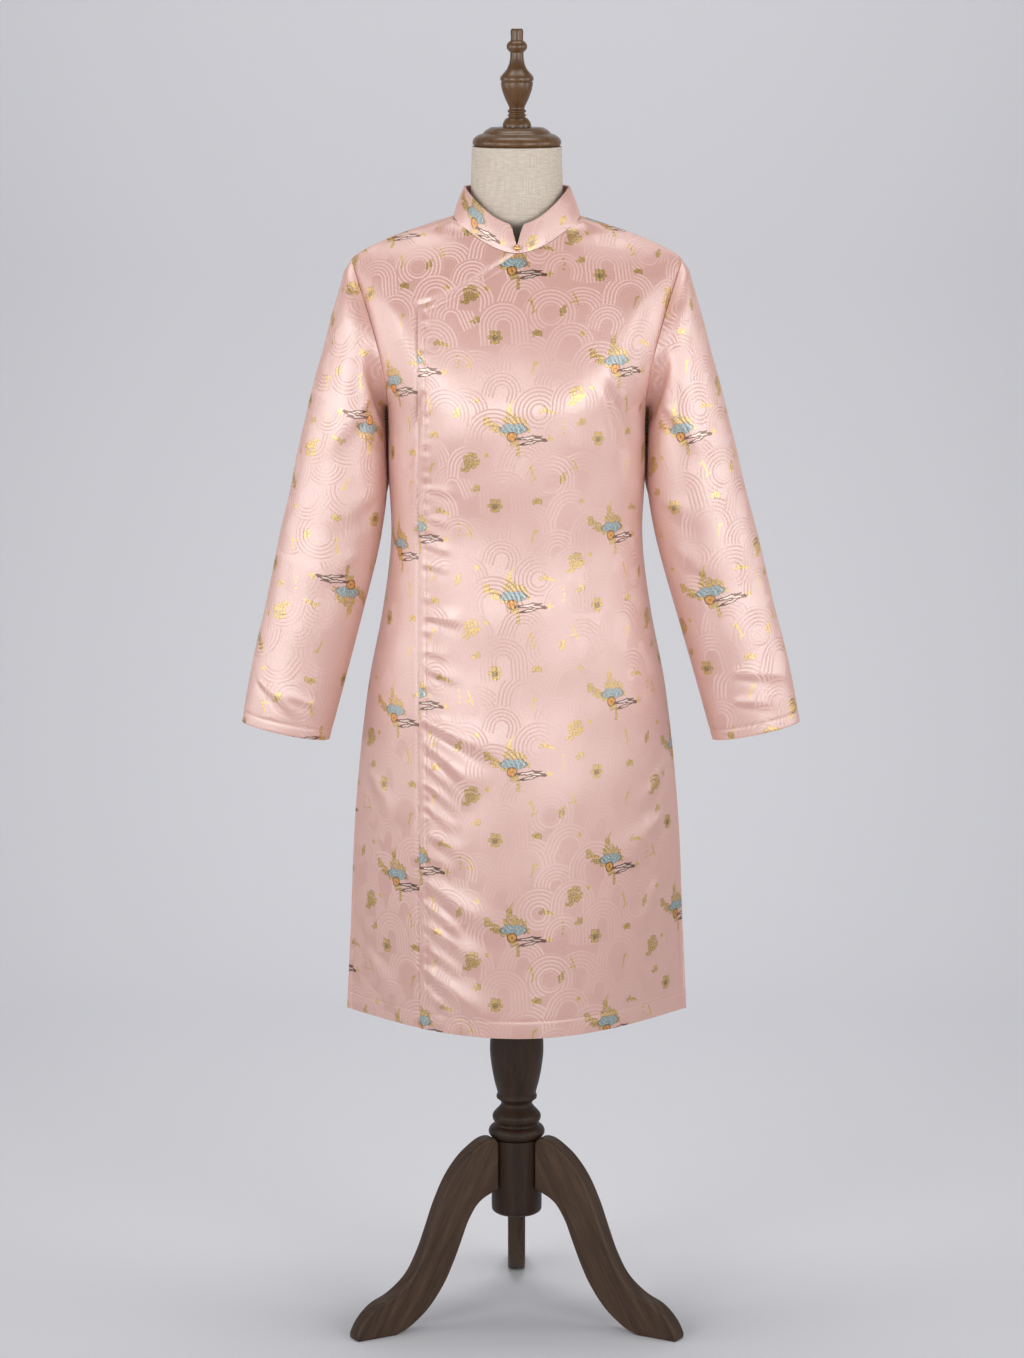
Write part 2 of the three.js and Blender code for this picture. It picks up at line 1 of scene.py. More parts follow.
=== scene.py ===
# %% [markdown]
# # A brocade ao dai on a dress form
#
# An ao dai is the long Vietnamese tunic. This one ends at the knee. It has a stand collar, a front
# that closes on a slant over the wearer's right chest, long set-in sleeves and a slit at each side.
# It is cut from silk brocade and hangs on a linen-covered dress form with a turned wooden stand.
#
# The measured model is loaded first, as a fixed frame. Each piece below is made in the place and size
# of its measured solid and then stands for it, so nothing is fitted by eye. The cloth could be
# sculpted, but a surface worked out from a tailor's sizes stays true from every side.

# %% Load the frame
import math

import bmesh
import bpy
import numpy as np
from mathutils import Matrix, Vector
from mathutils.bvhtree import BVHTree


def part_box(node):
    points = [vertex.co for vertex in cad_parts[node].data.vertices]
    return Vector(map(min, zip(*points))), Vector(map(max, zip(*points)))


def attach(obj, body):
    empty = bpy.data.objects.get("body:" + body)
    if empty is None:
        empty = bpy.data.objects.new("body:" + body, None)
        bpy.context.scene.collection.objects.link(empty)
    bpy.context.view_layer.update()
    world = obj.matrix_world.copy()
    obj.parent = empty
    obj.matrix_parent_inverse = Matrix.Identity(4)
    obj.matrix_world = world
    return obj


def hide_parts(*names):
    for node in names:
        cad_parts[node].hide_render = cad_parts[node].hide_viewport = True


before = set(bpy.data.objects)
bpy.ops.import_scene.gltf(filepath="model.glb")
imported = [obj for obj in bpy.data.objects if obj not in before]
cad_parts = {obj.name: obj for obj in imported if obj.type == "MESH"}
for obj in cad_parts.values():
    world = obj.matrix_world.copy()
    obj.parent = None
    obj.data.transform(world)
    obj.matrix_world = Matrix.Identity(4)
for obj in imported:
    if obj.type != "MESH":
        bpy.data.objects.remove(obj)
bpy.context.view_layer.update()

# %% [markdown]
# ## Units and the stand's axis
#
# A tailor thinks in millimetres and Blender in metres. The sizes below are millimetres from the
# stand's axis and the floor, and one function turns them into places in the frame. The axis is the
# middle of the turned post, which the frame gives.

# %% Places in the frame
MM = 0.001
post_low, post_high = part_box("post")
axis = (post_low + post_high) / 2


def placed(points):
    """Millimetres from the stand's axis and the floor, as metres in the frame."""
    return np.asarray(points, float) * MM + (axis.x, axis.y, 0)


def link(name, data):
    """A new object in the scene, at the origin."""
    piece = bpy.data.objects.new(name, data)
    bpy.context.scene.collection.objects.link(piece)
    return piece


print("stand's axis, metres:", round(axis.x, 4), round(axis.y, 4))

# %% [markdown]
# ## Camera, backdrop and light
#
# A garment on a stand is usually shot in a studio from a few metres away, with a long lens that keeps
# its proportions. A sheet of pale paper runs down the wall and over the floor in one sweep, so no
# corner shows. Satin shows what it reflects, so wide soft panels stand on both sides of the camera
# and give it a broad pale sheen on each side of the middle. A weak one between them lifts the middle.
# Two more, level with the garment, light the sleeves and the sides. Their spread is narrow, so they
# don't light the floor in front, which the low skirt reflects. One high panel lights the paper, and a
# weak world light stands for the white walls.

# %% Camera
CAMERA_FROM_AXIS = (-0.0058, -5.2)
CAMERA_HEIGHT = 1.687
LOOKS_DOWN = math.radians(9.68)
LENS = 114.9

camera = link("camera", bpy.data.cameras.new("camera"))
camera.data.lens = LENS
camera.location = (axis.x + CAMERA_FROM_AXIS[0], axis.y + CAMERA_FROM_AXIS[1], CAMERA_HEIGHT)
camera.rotation_euler = (math.pi / 2 - LOOKS_DOWN, 0, 0)
bpy.context.scene.camera = camera
print("camera at", [round(value, 3) for value in camera.location])

# %% Colours and nodes
def linear(code, alpha=1.0):
    """An sRGB colour such as "#e8c4bb" as the linear values that shaders use."""
    parts = [int(code[i : i + 2], 16) / 255 for i in (1, 3, 5)]
    return [c / 12.92 if c <= 0.04045 else ((c + 0.055) / 1.055) ** 2.4 for c in parts] + [alpha]


def add_node(tree, kind, inputs=(), **settings):
    """Adds a node with its settings. inputs are values, or other nodes' outputs to link.
    Gives back the node's first output in use."""
    node = tree.nodes.new(kind)
    for name, value in settings.items():
        setattr(node, name, value)
    for key, value in dict(inputs).items():
        if isinstance(key, int):
            socket = node.inputs[key]
        else:
            socket = next(s for s in node.inputs if s.enabled and s.name == key)
        if isinstance(value, bpy.types.NodeSocket):
            tree.links.new(value, socket)
        else:
            socket.default_value = value
    return next((s for s in node.outputs if s.enabled), node)


def new_material(name):
    """An empty material, its node tree, and a function that ends it in a shader with these inputs."""
    material = bpy.data.materials.new(name)
    material.use_nodes = True
    tree = material.node_tree
    tree.nodes.clear()

    def finish(**inputs):
        named = {key.replace("_", " ").title(): value for key, value in inputs.items()}
        named = {key.replace("Ior", "IOR"): value for key, value in named.items()}
        surface = add_node(tree, "ShaderNodeBsdfPrincipled", named)
        add_node(tree, "ShaderNodeOutputMaterial", {"Surface": surface})
        return material

    return tree, finish


# %% Backdrop
SWEEP_HALF_WIDTH = 6.0
SWEEP_FRONT = -4.0
SWEEP_WALL = 2.6
SWEEP_BEND = 1.1
SWEEP_HEIGHT = 5.0


def paper_sweep():
    """Pale paper over the floor, up through a bend and up the wall."""
    turns = np.radians(np.linspace(0, 90, 25))
    bend_start = SWEEP_WALL - SWEEP_BEND
    bend = [(bend_start + SWEEP_BEND * math.sin(t), SWEEP_BEND * (1 - math.cos(t))) for t in turns]
    line = [(SWEEP_FRONT, 0), *bend, (SWEEP_WALL, SWEEP_HEIGHT)]
    points = [(x, y, z) for y, z in line for x in (-SWEEP_HALF_WIDTH, SWEEP_HALF_WIDTH)]
    faces = [(2 * i, 2 * i + 1, 2 * i + 3, 2 * i + 2) for i in range(len(line) - 1)]
    mesh = bpy.data.meshes.new("paper_sweep")
    mesh.from_pydata(points, [], faces)
    mesh.shade_smooth()
    return link("paper_sweep", mesh)


def backdrop_paper():
    """Matt seamless paper: pale, cool grey and without shine. It shows on its near side alone, so that
    the garment's back can be looked at too."""
    tree, finish = new_material("backdrop_paper")
    material = finish(base_color=linear("#e2e2e6"), roughness=0.95)
    output = tree.nodes["Material Output"].inputs["Surface"]
    paper = output.links[0].from_socket
    far_side = add_node(tree, "ShaderNodeNewGeometry").node.outputs["Backfacing"]
    clear = add_node(tree, "ShaderNodeBsdfTransparent")
    one_sided = add_node(tree, "ShaderNodeMixShader", {0: far_side, 1: paper, 2: clear})
    tree.links.new(one_sided, output)
    return material


sweep = paper_sweep()
sweep.data.materials.append(backdrop_paper())

# %% Lights
def soft_light(name, width, height, place, aim, watts, spread):
    """A soft panel at a place, turned towards what it lights, and itself out of every view."""
    light = bpy.data.lights.new(name, "AREA")
    light.shape = "RECTANGLE"
    light.size = width
    light.size_y = height
    light.energy = watts
    light.spread = math.radians(spread)
    lamp = link(name, light)
    lamp.location = place
    lamp.rotation_euler = (Vector(aim) - Vector(place)).to_track_quat("-Z", "Y").to_euler()
    lamp.visible_camera = False


soft_light("front_left_light", 1.4, 1.4, (-1.5, -2.3, 1.35), (0, 0, 1.25), 8.8, 90)
soft_light("front_middle_light", 1.0, 1.4, (0, -2.7, 1.2), (0, 0, 1.1), 1.6, 90)
soft_light("front_right_light", 1.4, 1.4, (1.5, -2.3, 1.35), (0, 0, 1.25), 8.2, 90)
soft_light("left_light", 1.6, 1.6, (-2.5, -0.6, 1.4), (0, -0.1, 1.25), 5.6, 90)
soft_light("right_light", 1.6, 1.6, (2.5, -0.6, 1.4), (0, -0.1, 1.25), 5.6, 90)
soft_light("wall_light", 3.0, 1.6, (0, 0.4, 4.4), (0, 1.9, 0.5), 42, 130)

world = bpy.data.worlds.new("studio")
world.use_nodes = True
world.node_tree.nodes["Background"].inputs["Color"].default_value = linear("#eceef2")
world.node_tree.nodes["Background"].inputs["Strength"].default_value = 0.23
bpy.context.scene.world = world
bpy.context.scene.view_settings.view_transform = "Standard"

# %% [markdown]
# ## The garment's sizes
#
# A tunic's shape is a stack of level sections. Each has a half width, a depth in front and behind,
# and two powers that say how it rounds: near the bust it is a full oval, and at the hem a lens that
# comes to an edge at each side seam. A smooth curve through the rows gives any height between them.
# The same numbers hold in the measured model, so the fine cloth lies where its solid does.

# %% Sizes by height
def table(columns, *rows):
    """Rows of numbers as named columns."""
    return dict(zip(columns.split(), np.array(rows, float).T))


def mix(a, b, share):
    return a + (b - a) * share


def smooth(share):
    """A soft step from 0 to 1."""
    t = np.clip(share, 0, 1)
    return t * t * (3 - 2 * t)


def along(places, values, place):
    """Values on a smooth curve through what they are at a list of places."""
    slopes = np.empty_like(values)
    slopes[1:-1] = ((values[2:] - values[:-2]).T / (places[2:] - places[:-2])).T
    slopes[0] = (values[1] - values[0]) / (places[1] - places[0])
    slopes[-1] = (values[-1] - values[-2]) / (places[-1] - places[-2])
    k = np.clip(np.searchsorted(places, place, side="right") - 1, 0, len(places) - 2)
    span = places[k + 1] - places[k]
    t = np.clip((place - places[k]) / span, 0, 1)
    extra = (1,) * (values.ndim - 1)
    t, span = t.reshape(t.shape + extra), span.reshape(span.shape + extra)
    start = (1 + 2 * t) * (1 - t) ** 2 * values[k] + t * (1 - t) ** 2 * span * slopes[k]
    end = t * t * (3 - 2 * t) * values[k + 1] - t * t * (1 - t) * span * slopes[k + 1]
    return start + end


def size_at(sections, column, z):
    return along(sections["z"], sections[column], np.asarray(z, float))


HEM_Z = 389
UNDERARM_Z = 1136
SHOULDER_X, SHOULDER_Z = 198, 1309
NECK_X, NECK_Z = 76, 1362
NECK_FRONT_Z, NECK_CURVE = 1322, 1.8
SHOULDER_CURVE = 0.7
OPENING_X, OPENING_Z, OPENING_CURVE = -117, 1262, 1.25
UNDERLAP = 30
LAP_DEPTH = 2.8
SLIT_TOP, SLIT_HALF_WIDTH = 800, 2.5
SEAM_GAP = 0.2

TUNIC = table(
    "z half front back bow round",
    (389, 209, 155, 132, 2.0, 1.1),
    (490, 204, 151, 131, 2.0, 0.95),
    (640, 197, 145, 129, 2.0, 0.8),
    (790, 181, 133, 123, 2.1, 0.65),
    (890, 162, 128, 108, 2.2, 0.55),
    (975, 152, 125, 96, 2.3, 0.5),
    (1060, 155, 129, 103, 2.4, 0.5),
    (1136, 156, 132, 111, 2.4, 0.5),
    (1163, 166, 129, 113, 2.4, 0.5),
    (1209, 182, 118, 113, 2.3, 0.5),
    (1257, 195, 101, 106, 2.1, 0.55),
    (1285, 199, 88, 97, 1.9, 0.62),
    (1309, 198, 78, 86, 1.7, 0.76),
    (1325, 178, 72, 78, 1.45, 0.8),
    (1345, 125, 65, 68, 1.5, 0.9),
    (1362, 76, 60, 60, 2.0, 0.5),
)
ARMHOLE = table("z x", (1136, 155), (1163, 157), (1209, 166), (1257, 180), (1309, 198))


def shoulder_z(x):
    inwards = np.clip((SHOULDER_X - x) / (SHOULDER_X - NECK_X), 0, 1)
    return SHOULDER_Z + (NECK_Z - SHOULDER_Z) * inwards**SHOULDER_CURVE


def shoulder_x(z):
    rise = np.clip((z - SHOULDER_Z) / (NECK_Z - SHOULDER_Z), 0, 1)
    return SHOULDER_X - (SHOULDER_X - NECK_X) * rise ** (1 / SHOULDER_CURVE)


def half_width(z):
    return np.where(z > SHOULDER_Z, shoulder_x(z), size_at(TUNIC, "half", z))


def seam_x(z):
    """How far across the side seam lies, and above the underarm the armhole seam."""
    armhole = size_at(ARMHOLE, "x", np.minimum(z, SHOULDER_Z))
    return np.where(z < UNDERARM_Z, half_width(z), armhole)


print("half width at the waist:", float(half_width(np.array(975.0))), "mm")

# %% [markdown]
# ## Folds
#
# Satin shows every pull in the cloth, because a fold turns the surface towards or away from the
# light. Cloth simulation would find folds of its own; the ones here are listed, where this
# garment hangs from its closing edge. Each is a ridge along a slightly bent line: it rises slowly from
# above, falls off sharply below into a shallow trough, starts narrow, and fades at both ends. Short
# ones cross the stitched edge, long ones fan down and away from it, and darts point at the bust.

# %% Folds
FRONT_FOLDS = table(
    "x0 z0 x1 z1 width rise bend",
    (150, 1268, 90, 1150, 25, 3.2, 6),  # pulls from the armholes to the bust
    (-150, 1262, -96, 1158, 25, 3.2, -6),
    (106, 1168, 146, 1045, 11, -5, 4),  # side darts
    (-112, 1150, -138, 1020, 11, -5, -4),
    (-107, 764, -36, 736, 14, 4.2, 4),  # long folds that fall away from the closing edge
    (-107, 737, -54, 694, 14, 4.2, 5),
    (-107, 712, -62, 676, 11, 3.0, 4),
    (-107, 690, -70, 662, 9, 2.1, 3),
    (-107, 660, -76, 640, 8, 1.3, 2),
    (-107, 630, -66, 610, 10, 1.8, 2),
    (-107, 603, -80, 592, 8, 1.2, 2),
    (-107, 570, -30, 518, 15, 4.2, 5),
    (-107, 540, -66, 512, 9, 2.1, 3),
    (-107, 515, -50, 482, 12, 3.0, 4),
    (-107, 488, -70, 466, 8, 1.5, 2),
    (-107, 460, -42, 412, 15, 4.5, 5),
    (-107, 432, -70, 408, 9, 1.7, 3),
    (-108, 892, -70, 889, 8, 2.4, 1),  # short ones that cross the edge's stitching
    (-108, 953, -84, 950, 6, 0.9, 1),
    (-108, 976, -80, 971, 6, 1.0, 1),
    (-108, 1010, -82, 1004, 6, 1.0, 1),
    (-108, 1045, -76, 1041, 6, 1.0, 1),
    (-108, 850, -84, 846, 7, 1.0, 1),
    (-108, 828, -72, 818, 8, 1.3, 2),
    (176, 640, 128, 592, 18, 4, 5),  # by the side slits
    (172, 560, 150, 500, 12, 3, 4),
    (178, 700, 156, 660, 9, 2.2, 3),
    (-186, 470, -150, 420, 14, 4.5, -4),
    (-176, 690, -150, 640, 12, 2.5, -4),
)
BACK_FOLDS = table(
    "x0 z0 x1 z1 width rise bend",
    (66, 1085, 70, 850, 9, -5, 3),  # waist darts
    (-66, 1085, -70, 850, 9, -5, -3),
    (158, 1250, 96, 1160, 20, 4, 6),
    (-158, 1245, -90, 1165, 20, 4, -6),
    (-40, 760, -62, 420, 24, 5, 8),  # long soft folds of the skirt
    (58, 720, 84, 410, 24, 5, -8),
    (140, 700, 156, 440, 20, 4, 5),
    (-118, 690, -140, 560, 14, 3, 5),
    (-150, 905, -104, 880, 9, 2.5, 3),
    (150, 920, 100, 890, 9, 2.5, -3),
)
BUST_X, BUST_Z, BUST_RADIUS, BUST_RISE = 82, 1128, 62, 5
TROUGH = 0.35
START_WIDTH = 0.4
SHOULDER_EASE, SEAM_HOLD = (-20, -10, 0, 10, 20), 6


def fold_rise(folds, x, z):
    """How far the folds lift the cloth."""
    total = np.zeros(np.broadcast(x, z).shape)
    for x0, z0, x1, z1, width, rise, bend in zip(*folds.values()):
        run, fall = x1 - x0, z1 - z0
        length = math.hypot(run, fall)
        share = ((x - x0) * run + (z - z0) * fall) / length**2
        part = np.clip(share, 0, 1)
        off = ((x - x0) * fall - (z - z0) * run) / length + bend * part * (1 - part)
        below = np.sign(run) * off / (width * mix(START_WIDTH, 1, part))
        crest = np.exp(-((below / np.where(below > 0, 0.75, 1.4)) ** 2))
        trough = np.exp(-(((below - 1.4) / 0.8) ** 2))
        ends = smooth((share + 0.15) / 0.3) * smooth((1.3 - share) / 0.7)
        total += rise * ends * (crest - TROUGH * trough)
    return total


def ripple(x, z):
    """The slight waviness of cloth that nothing holds flat."""
    broad = np.sin(x / 31 + z / 67 + 0.8) * np.sin(z / 43 - x / 90)
    fine = np.sin(x / 17 - z / 29 + 2.1) * np.sin(z / 23 + x / 37 + 1.3)
    return 0.9 * broad + 0.35 * fine


def plain_depth(side, x, z):
    """How far unfolded cloth stands from the side seams' plane. The half width is eased over a few
    heights, so that the shoulder line leaves no ridge in the cloth, but not along the seams."""
    half = half_width(z)
    eased = sum(half_width(z + step) for step in SHOULDER_EASE) / len(SHOULDER_EASE)
    half = mix(eased, half, np.minimum(1, np.abs(x) / half) ** SEAM_HOLD)
    reach = np.minimum(1, np.abs(x) / half) ** size_at(TUNIC, "bow", z)
    fullness = (1 - reach) ** size_at(TUNIC, "round", z)
    return size_at(TUNIC, side, z) * fullness, fullness


def depth_at(side, x, z):
    plain, fullness = plain_depth(side, x, z)
    folds = FRONT_FOLDS if side == "front" else BACK_FOLDS
    loose = smooth(fullness * 3) * smooth((1345 - z) / 60)
    depth = plain + fold_rise(folds, x, z) * smooth(fullness * 3) + ripple(x, z) * loose
    if side == "back":
        return depth
    from_bust = np.hypot(np.abs(x) - BUST_X, z - BUST_Z) / BUST_RADIUS
    return depth + BUST_RISE * np.exp(-(from_bust**2))


def cloth_point(side, x, z):
    """Points of the front or back, kept apart at the side seams and further apart at the slits."""
    apart = SEAM_GAP + SLIT_HALF_WIDTH * smooth((SLIT_TOP - z) / (SLIT_TOP - HEM_Z))
    depth = np.maximum(depth_at(side, x, z), apart)
    return np.stack([x + 0 * z, -depth if side == "front" else depth, z + 0 * x], -1)


print("front folds:", len(FRONT_FOLDS["x0"]), "back folds:", len(BACK_FOLDS["x0"]))

# %% [markdown]
# ## From a grid of points to a wall of cloth
#
# A panel is a grid whose columns run from its top edge to the hem, about 4 mm apart, and closer
# where a stitched line needs it. Solidify gives it the thickness of lined brocade, inwards, with a
# lining on the inner face, and a small Bevel rounds the cut edges. Each point also keeps its place
# on the bolt of cloth as a UV in metres: how far across the grain and how far along it. The woven
# pattern is drawn from those, so it bends with the cloth and breaks at each seam, as a cut one does.

# %% Cloth helpers
CLOTH = 1.5
EDGE_ROUNDING = 0.35


def gathered_shares(count, *places):
    """count + 1 shares from 0 to 1, closer together near each (place, width, times)."""
    fine = np.linspace(0, 1, 4001)
    density = np.ones_like(fine)
    for place, width, times in places:
        density += (times - 1) * np.exp(-(((fine - place) / width) ** 2))
    total = np.concatenate([[0], np.cumsum((density[1:] + density[:-1]) / 2)])
    return np.interp(np.linspace(0, total[-1], count + 1), total, fine)


def grid_normals(grid, closed=False):
    """Outward directions, for columns that run down the cloth and follow one another to the right."""
    if closed:
        ring = np.concatenate([grid[-2:-1], grid, grid[1:2]])
        right = ring[2:] - ring[:-2]
    else:
        right = np.gradient(grid, axis=0)
    down = np.gradient(grid, axis=1)
    normals = np.cross(down, right)
    return normals / np.maximum(np.linalg.norm(normals, axis=-1, keepdims=True), 1e-9)


def cloth_piece(name, grid, bolt, thickness=CLOTH, closed=False):
    """A wall of cloth on a grid of points, with its place on the bolt as UVs in metres."""
    columns, rows = grid.shape[:2]
    kept = columns - 1 if closed else columns
    i, j = np.meshgrid(np.arange(columns - 1), np.arange(rows - 1), indexing="ij")
    corners = [(i, j), (i, j + 1), (i + 1, j + 1), (i + 1, j)]
    faces = np.stack([(a % kept) * rows + b for a, b in corners], -1).reshape(-1, 4)
    mesh = bpy.data.meshes.new(name)
    mesh.from_pydata(placed(grid[:kept].reshape(-1, 3)).tolist(), [], faces.tolist())
    uv = np.stack([bolt[a, b] for a, b in corners], -2) * MM
    mesh.uv_layers.new(name="bolt").data.foreach_set("uv", uv.reshape(-1).astype(np.float32))
    mesh.shade_smooth()
    piece = link(name, mesh)
    mesh.materials.append(brocade)
    mesh.materials.append(lining)
    wall = piece.modifiers.new("thickness", "SOLIDIFY")
    wall.thickness = thickness * MM
    wall.offset = -1
    wall.material_offset = 1
    edge = piece.modifiers.new("edges", "BEVEL")
    edge.width = EDGE_ROUNDING * MM
    edge.segments = 2
    edge.limit_method = "ANGLE"
    edge.angle_limit = math.radians(60)
    return piece


def flat_area(grid):
    """The area of a grid of points, in square metres."""
    across = np.diff(grid, axis=0)[:, :-1]
    down = np.diff(grid, axis=1)[:-1]
    return np.linalg.norm(np.cross(across, down), axis=-1).sum() * MM * MM


def finish_cloth(piece, node, grid):
    """Says where a piece of cloth rides, what it stands for, and how it was cut."""
    flat, area = CUT[node]["flat"], CUT[node]["area"]
    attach(piece, "root")
    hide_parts(node)
    cut = f"cut {area:.3f} m2 from {flat[0]:.2f} x {flat[1]:.2f} m"
    print(f"{node}: measures {flat_area(grid):.3f} m2, {cut}")


print("helpers ready, cloth", CLOTH, "mm thick")

# %% [markdown]
# ## The brocade
#
# Brocade is woven on one loom in two ways at once. Its pink ground is silk satin, whose long threads
# shine, and rainbow arches are woven into it with the same thread lying another way, so they show as
# darker lines in the shine and as lighter ones beside it. Extra threads of gilt, grey-blue, orange
# and white make the clouds, buds, ribbons and curls. An image would be the usual way to do this. Here
# the pattern is drawn with nodes instead, from ovals and arches with real sizes, so it stays sharp at
# any distance.
#
# The motifs stand on a drop repeat: every other column of the cloth is moved down by a little more
# than half its height. Wrapping the place on the bolt into one repeat draws all of them at once.

# %% The repeat
REPEAT_WIDTH, REPEAT_HEIGHT, COLUMN_DROP = 126, 200, 122


def on_repeat(tree, place, x=0, y=0):
    """Where a place on the bolt lies from the nearest point (x, y) of the drop repeat, in mm."""
    moved = add_node(tree, "ShaderNodeVectorMath", {0: place, 1: (x, y, 0)}, operation="SUBTRACT")
    across = add_node(tree, "ShaderNodeSeparateXYZ", {0: moved})
    in_columns = {0: across, 1: 1 / REPEAT_WIDTH, 2: 0.5}
    share = add_node(tree, "ShaderNodeMath", in_columns, operation="MULTIPLY_ADD")
    column = add_node(tree, "ShaderNodeMath", {0: share}, operation="FLOOR")
    odd = add_node(tree, "ShaderNodeMath", {0: column, 1: 1.0}, operation="PINGPONG")
    fall = add_node(tree, "ShaderNodeMath", {0: odd, 1: COLUMN_DROP}, operation="MULTIPLY")
    drop = add_node(tree, "ShaderNodeCombineXYZ", {"Y": fall})
    dropped = add_node(tree, "ShaderNodeVectorMath", {0: moved, 1: drop}, operation="ADD")
    corner = (REPEAT_WIDTH / 2, REPEAT_HEIGHT / 2, 1)
    low_corner = [-value for value in corner]
    return add_node(tree, "ShaderNodeVectorMath", {0: dropped, 1: corner, 2: low_corner}, operation="WRAP")


def nearest_oval(tree, place, ovals):
    """The distance to the nearest of several ovals, 0 in its middle and 1 on its edge."""
    nearest = None
    for x, y, wide, high, turn in zip(*ovals.values()):
        frame_of_oval = {
            "Vector": place,
            "Location": (x, y, 0),
            "Rotation": (0, 0, math.radians(turn)),
            "Scale": (wide, high, 1),
        }
        local = add_node(tree, "ShaderNodeMapping", frame_of_oval, vector_type="TEXTURE")
        distance = add_node(tree, "ShaderNodeVectorMath", {0: local}, operation="LENGTH")
        if nearest is None:
            nearest = distance
        else:
            nearest = add_node(tree, "ShaderNodeMath", {0: nearest, 1: distance}, operation="MINIMUM")
    return nearest


# %% [markdown]
# The motifs are lists of ovals, in millimetres from the middle of the cloud. Gilt parts are not filled
# ovals: the cloth is split into small round cells, and each cell whose middle lies in an oval becomes
# one curl, with a duller heart and a dark rim. That gives the ragged edge of woven gold thread.

# %% Motifs
CLOUD = table(
    "x y wide high turn",
    (0, 0, 14, 4.6, 0),
    (-6, 2.6, 6, 3.3, 0),
    (6, 2.8, 6, 3.2, 0),
    (3, -2.6, 7.5, 3, 0),
)
BUD = table("x y wide high turn", (-2, -9, 5.6, 5.6, 0))
RIBBONS = table(
    "x y wide high turn",
    (17, -10.5, 11, 1.5, 5),
    (28, -12.5, 8, 1.3, -8),
    (20, -16, 10, 1.3, 12),
)
GILT_CURLS = table(
    "x y wide high turn",
    (-20, 1, 8.5, 5.5, -10),
    (-30, 9, 8, 4.6, -30),
    (-3, 12, 8.5, 8, 0),
    (-6, 22, 4, 6.5, 18),
    (9, 8, 7, 5.4, 0),
    (16, -1, 4.5, 4.5, 0),
    (-11, -4, 4.5, 4, 0),
    (2, -17, 5, 5, 0),
    (5, -26, 2.6, 6, 12),
    (37, 21, 8, 4.4, 0),  # a small winged shape by the cloud
    (-50, -38, 9.5, 11, 0),  # a spray of curls between two clouds
    (-59, -49, 6.5, 3, 20),
    (-22, -92, 8.5, 8.5, 0),  # a sun
    (-43, -71, 8, 3.4, 0),
    (28, -86, 5, 5, 0),
    (58, -60, 5, 6.5, -20),
)
GILT_THREADS = table(
    "x y wide high turn",
    (-3, 29, 0.9, 6, -25),
    (46, 19, 4.5, 1.2, -12),
    (22, -50, 1.0, 9, 14),  # sprigs
    (24, -60, 4.5, 1.0, 30),
    (20, -47, 4, 1.0, -30),
    (23, 72, 1.0, 9, -12),
    (26, 78, 4, 0.9, 35),
    (-32, -31, 2.8, 2.8, 45),  # small blocks, stars and dots
    (43, -12, 1.4, 4.6, 0),
    (43, -12, 4.6, 1.4, 0),
    (-44, 34, 1.3, 4.2, 0),
    (-44, 34, 4.2, 1.3, 0),
    (60, 8, 1.2, 1.8, 0),
    (61, 1, 1.2, 1.8, 0),
    (60, -6, 1.2, 1.8, 0),
    (-52, 78, 1.0, 10, 22),
    (-55, 74, 4.2, 1.0, 15),
)
SUN_HEART = table("x y wide high turn", (-22, -92, 3.6, 3.6, 0))
ARCHES = table(
    "x y radius legs spacing core turn curled",
    (-44, 60, 33, 22, 4.6, 10, -12, 0),
    (16, 78, 36, 12, 4.8, 15, 8, 0),
    (52, 52, 28, 20, 4.4, 7, -24, 0),
    (-14, 44, 26, 10, 4.4, 7, 16, 0),
    (-58, 20, 29, 18, 4.6, 11, 24, 0),
    (30, 20, 32, 20, 4.8, 8, -8, 1),
    (60, -8, 26, 10, 4.4, 9, 12, 0),
    (-24, -10, 35, 16, 4.8, 13, -16, 0),
    (12, -40, 28, 26, 4.4, 6, 20, 0),
    (-52, -48, 30, 12, 4.6, 11, 6, 0),
    (44, -62, 33, 16, 4.8, 10, -14, 1),
    (-12, -78, 31, 22, 4.6, 7, -4, 0),
)
CURL_SIZE = 3.9
CURL_EDGE, CURL_RIM, CURL_HEART = 0.6, 0.46, 0.16  # from a curl's middle, in curl sizes
STRAY = 3.2  # how much the edges of gilt threads and coloured wefts wander, from side to side
LINE_EDGES = (0.12, 0.3)  # how far from its middle a line is full, and where it ends, in spacings
SLUB_STRETCH = (0.12, 1.6, 1)  # uneven threads, about 8 mm long and 0.6 mm wide


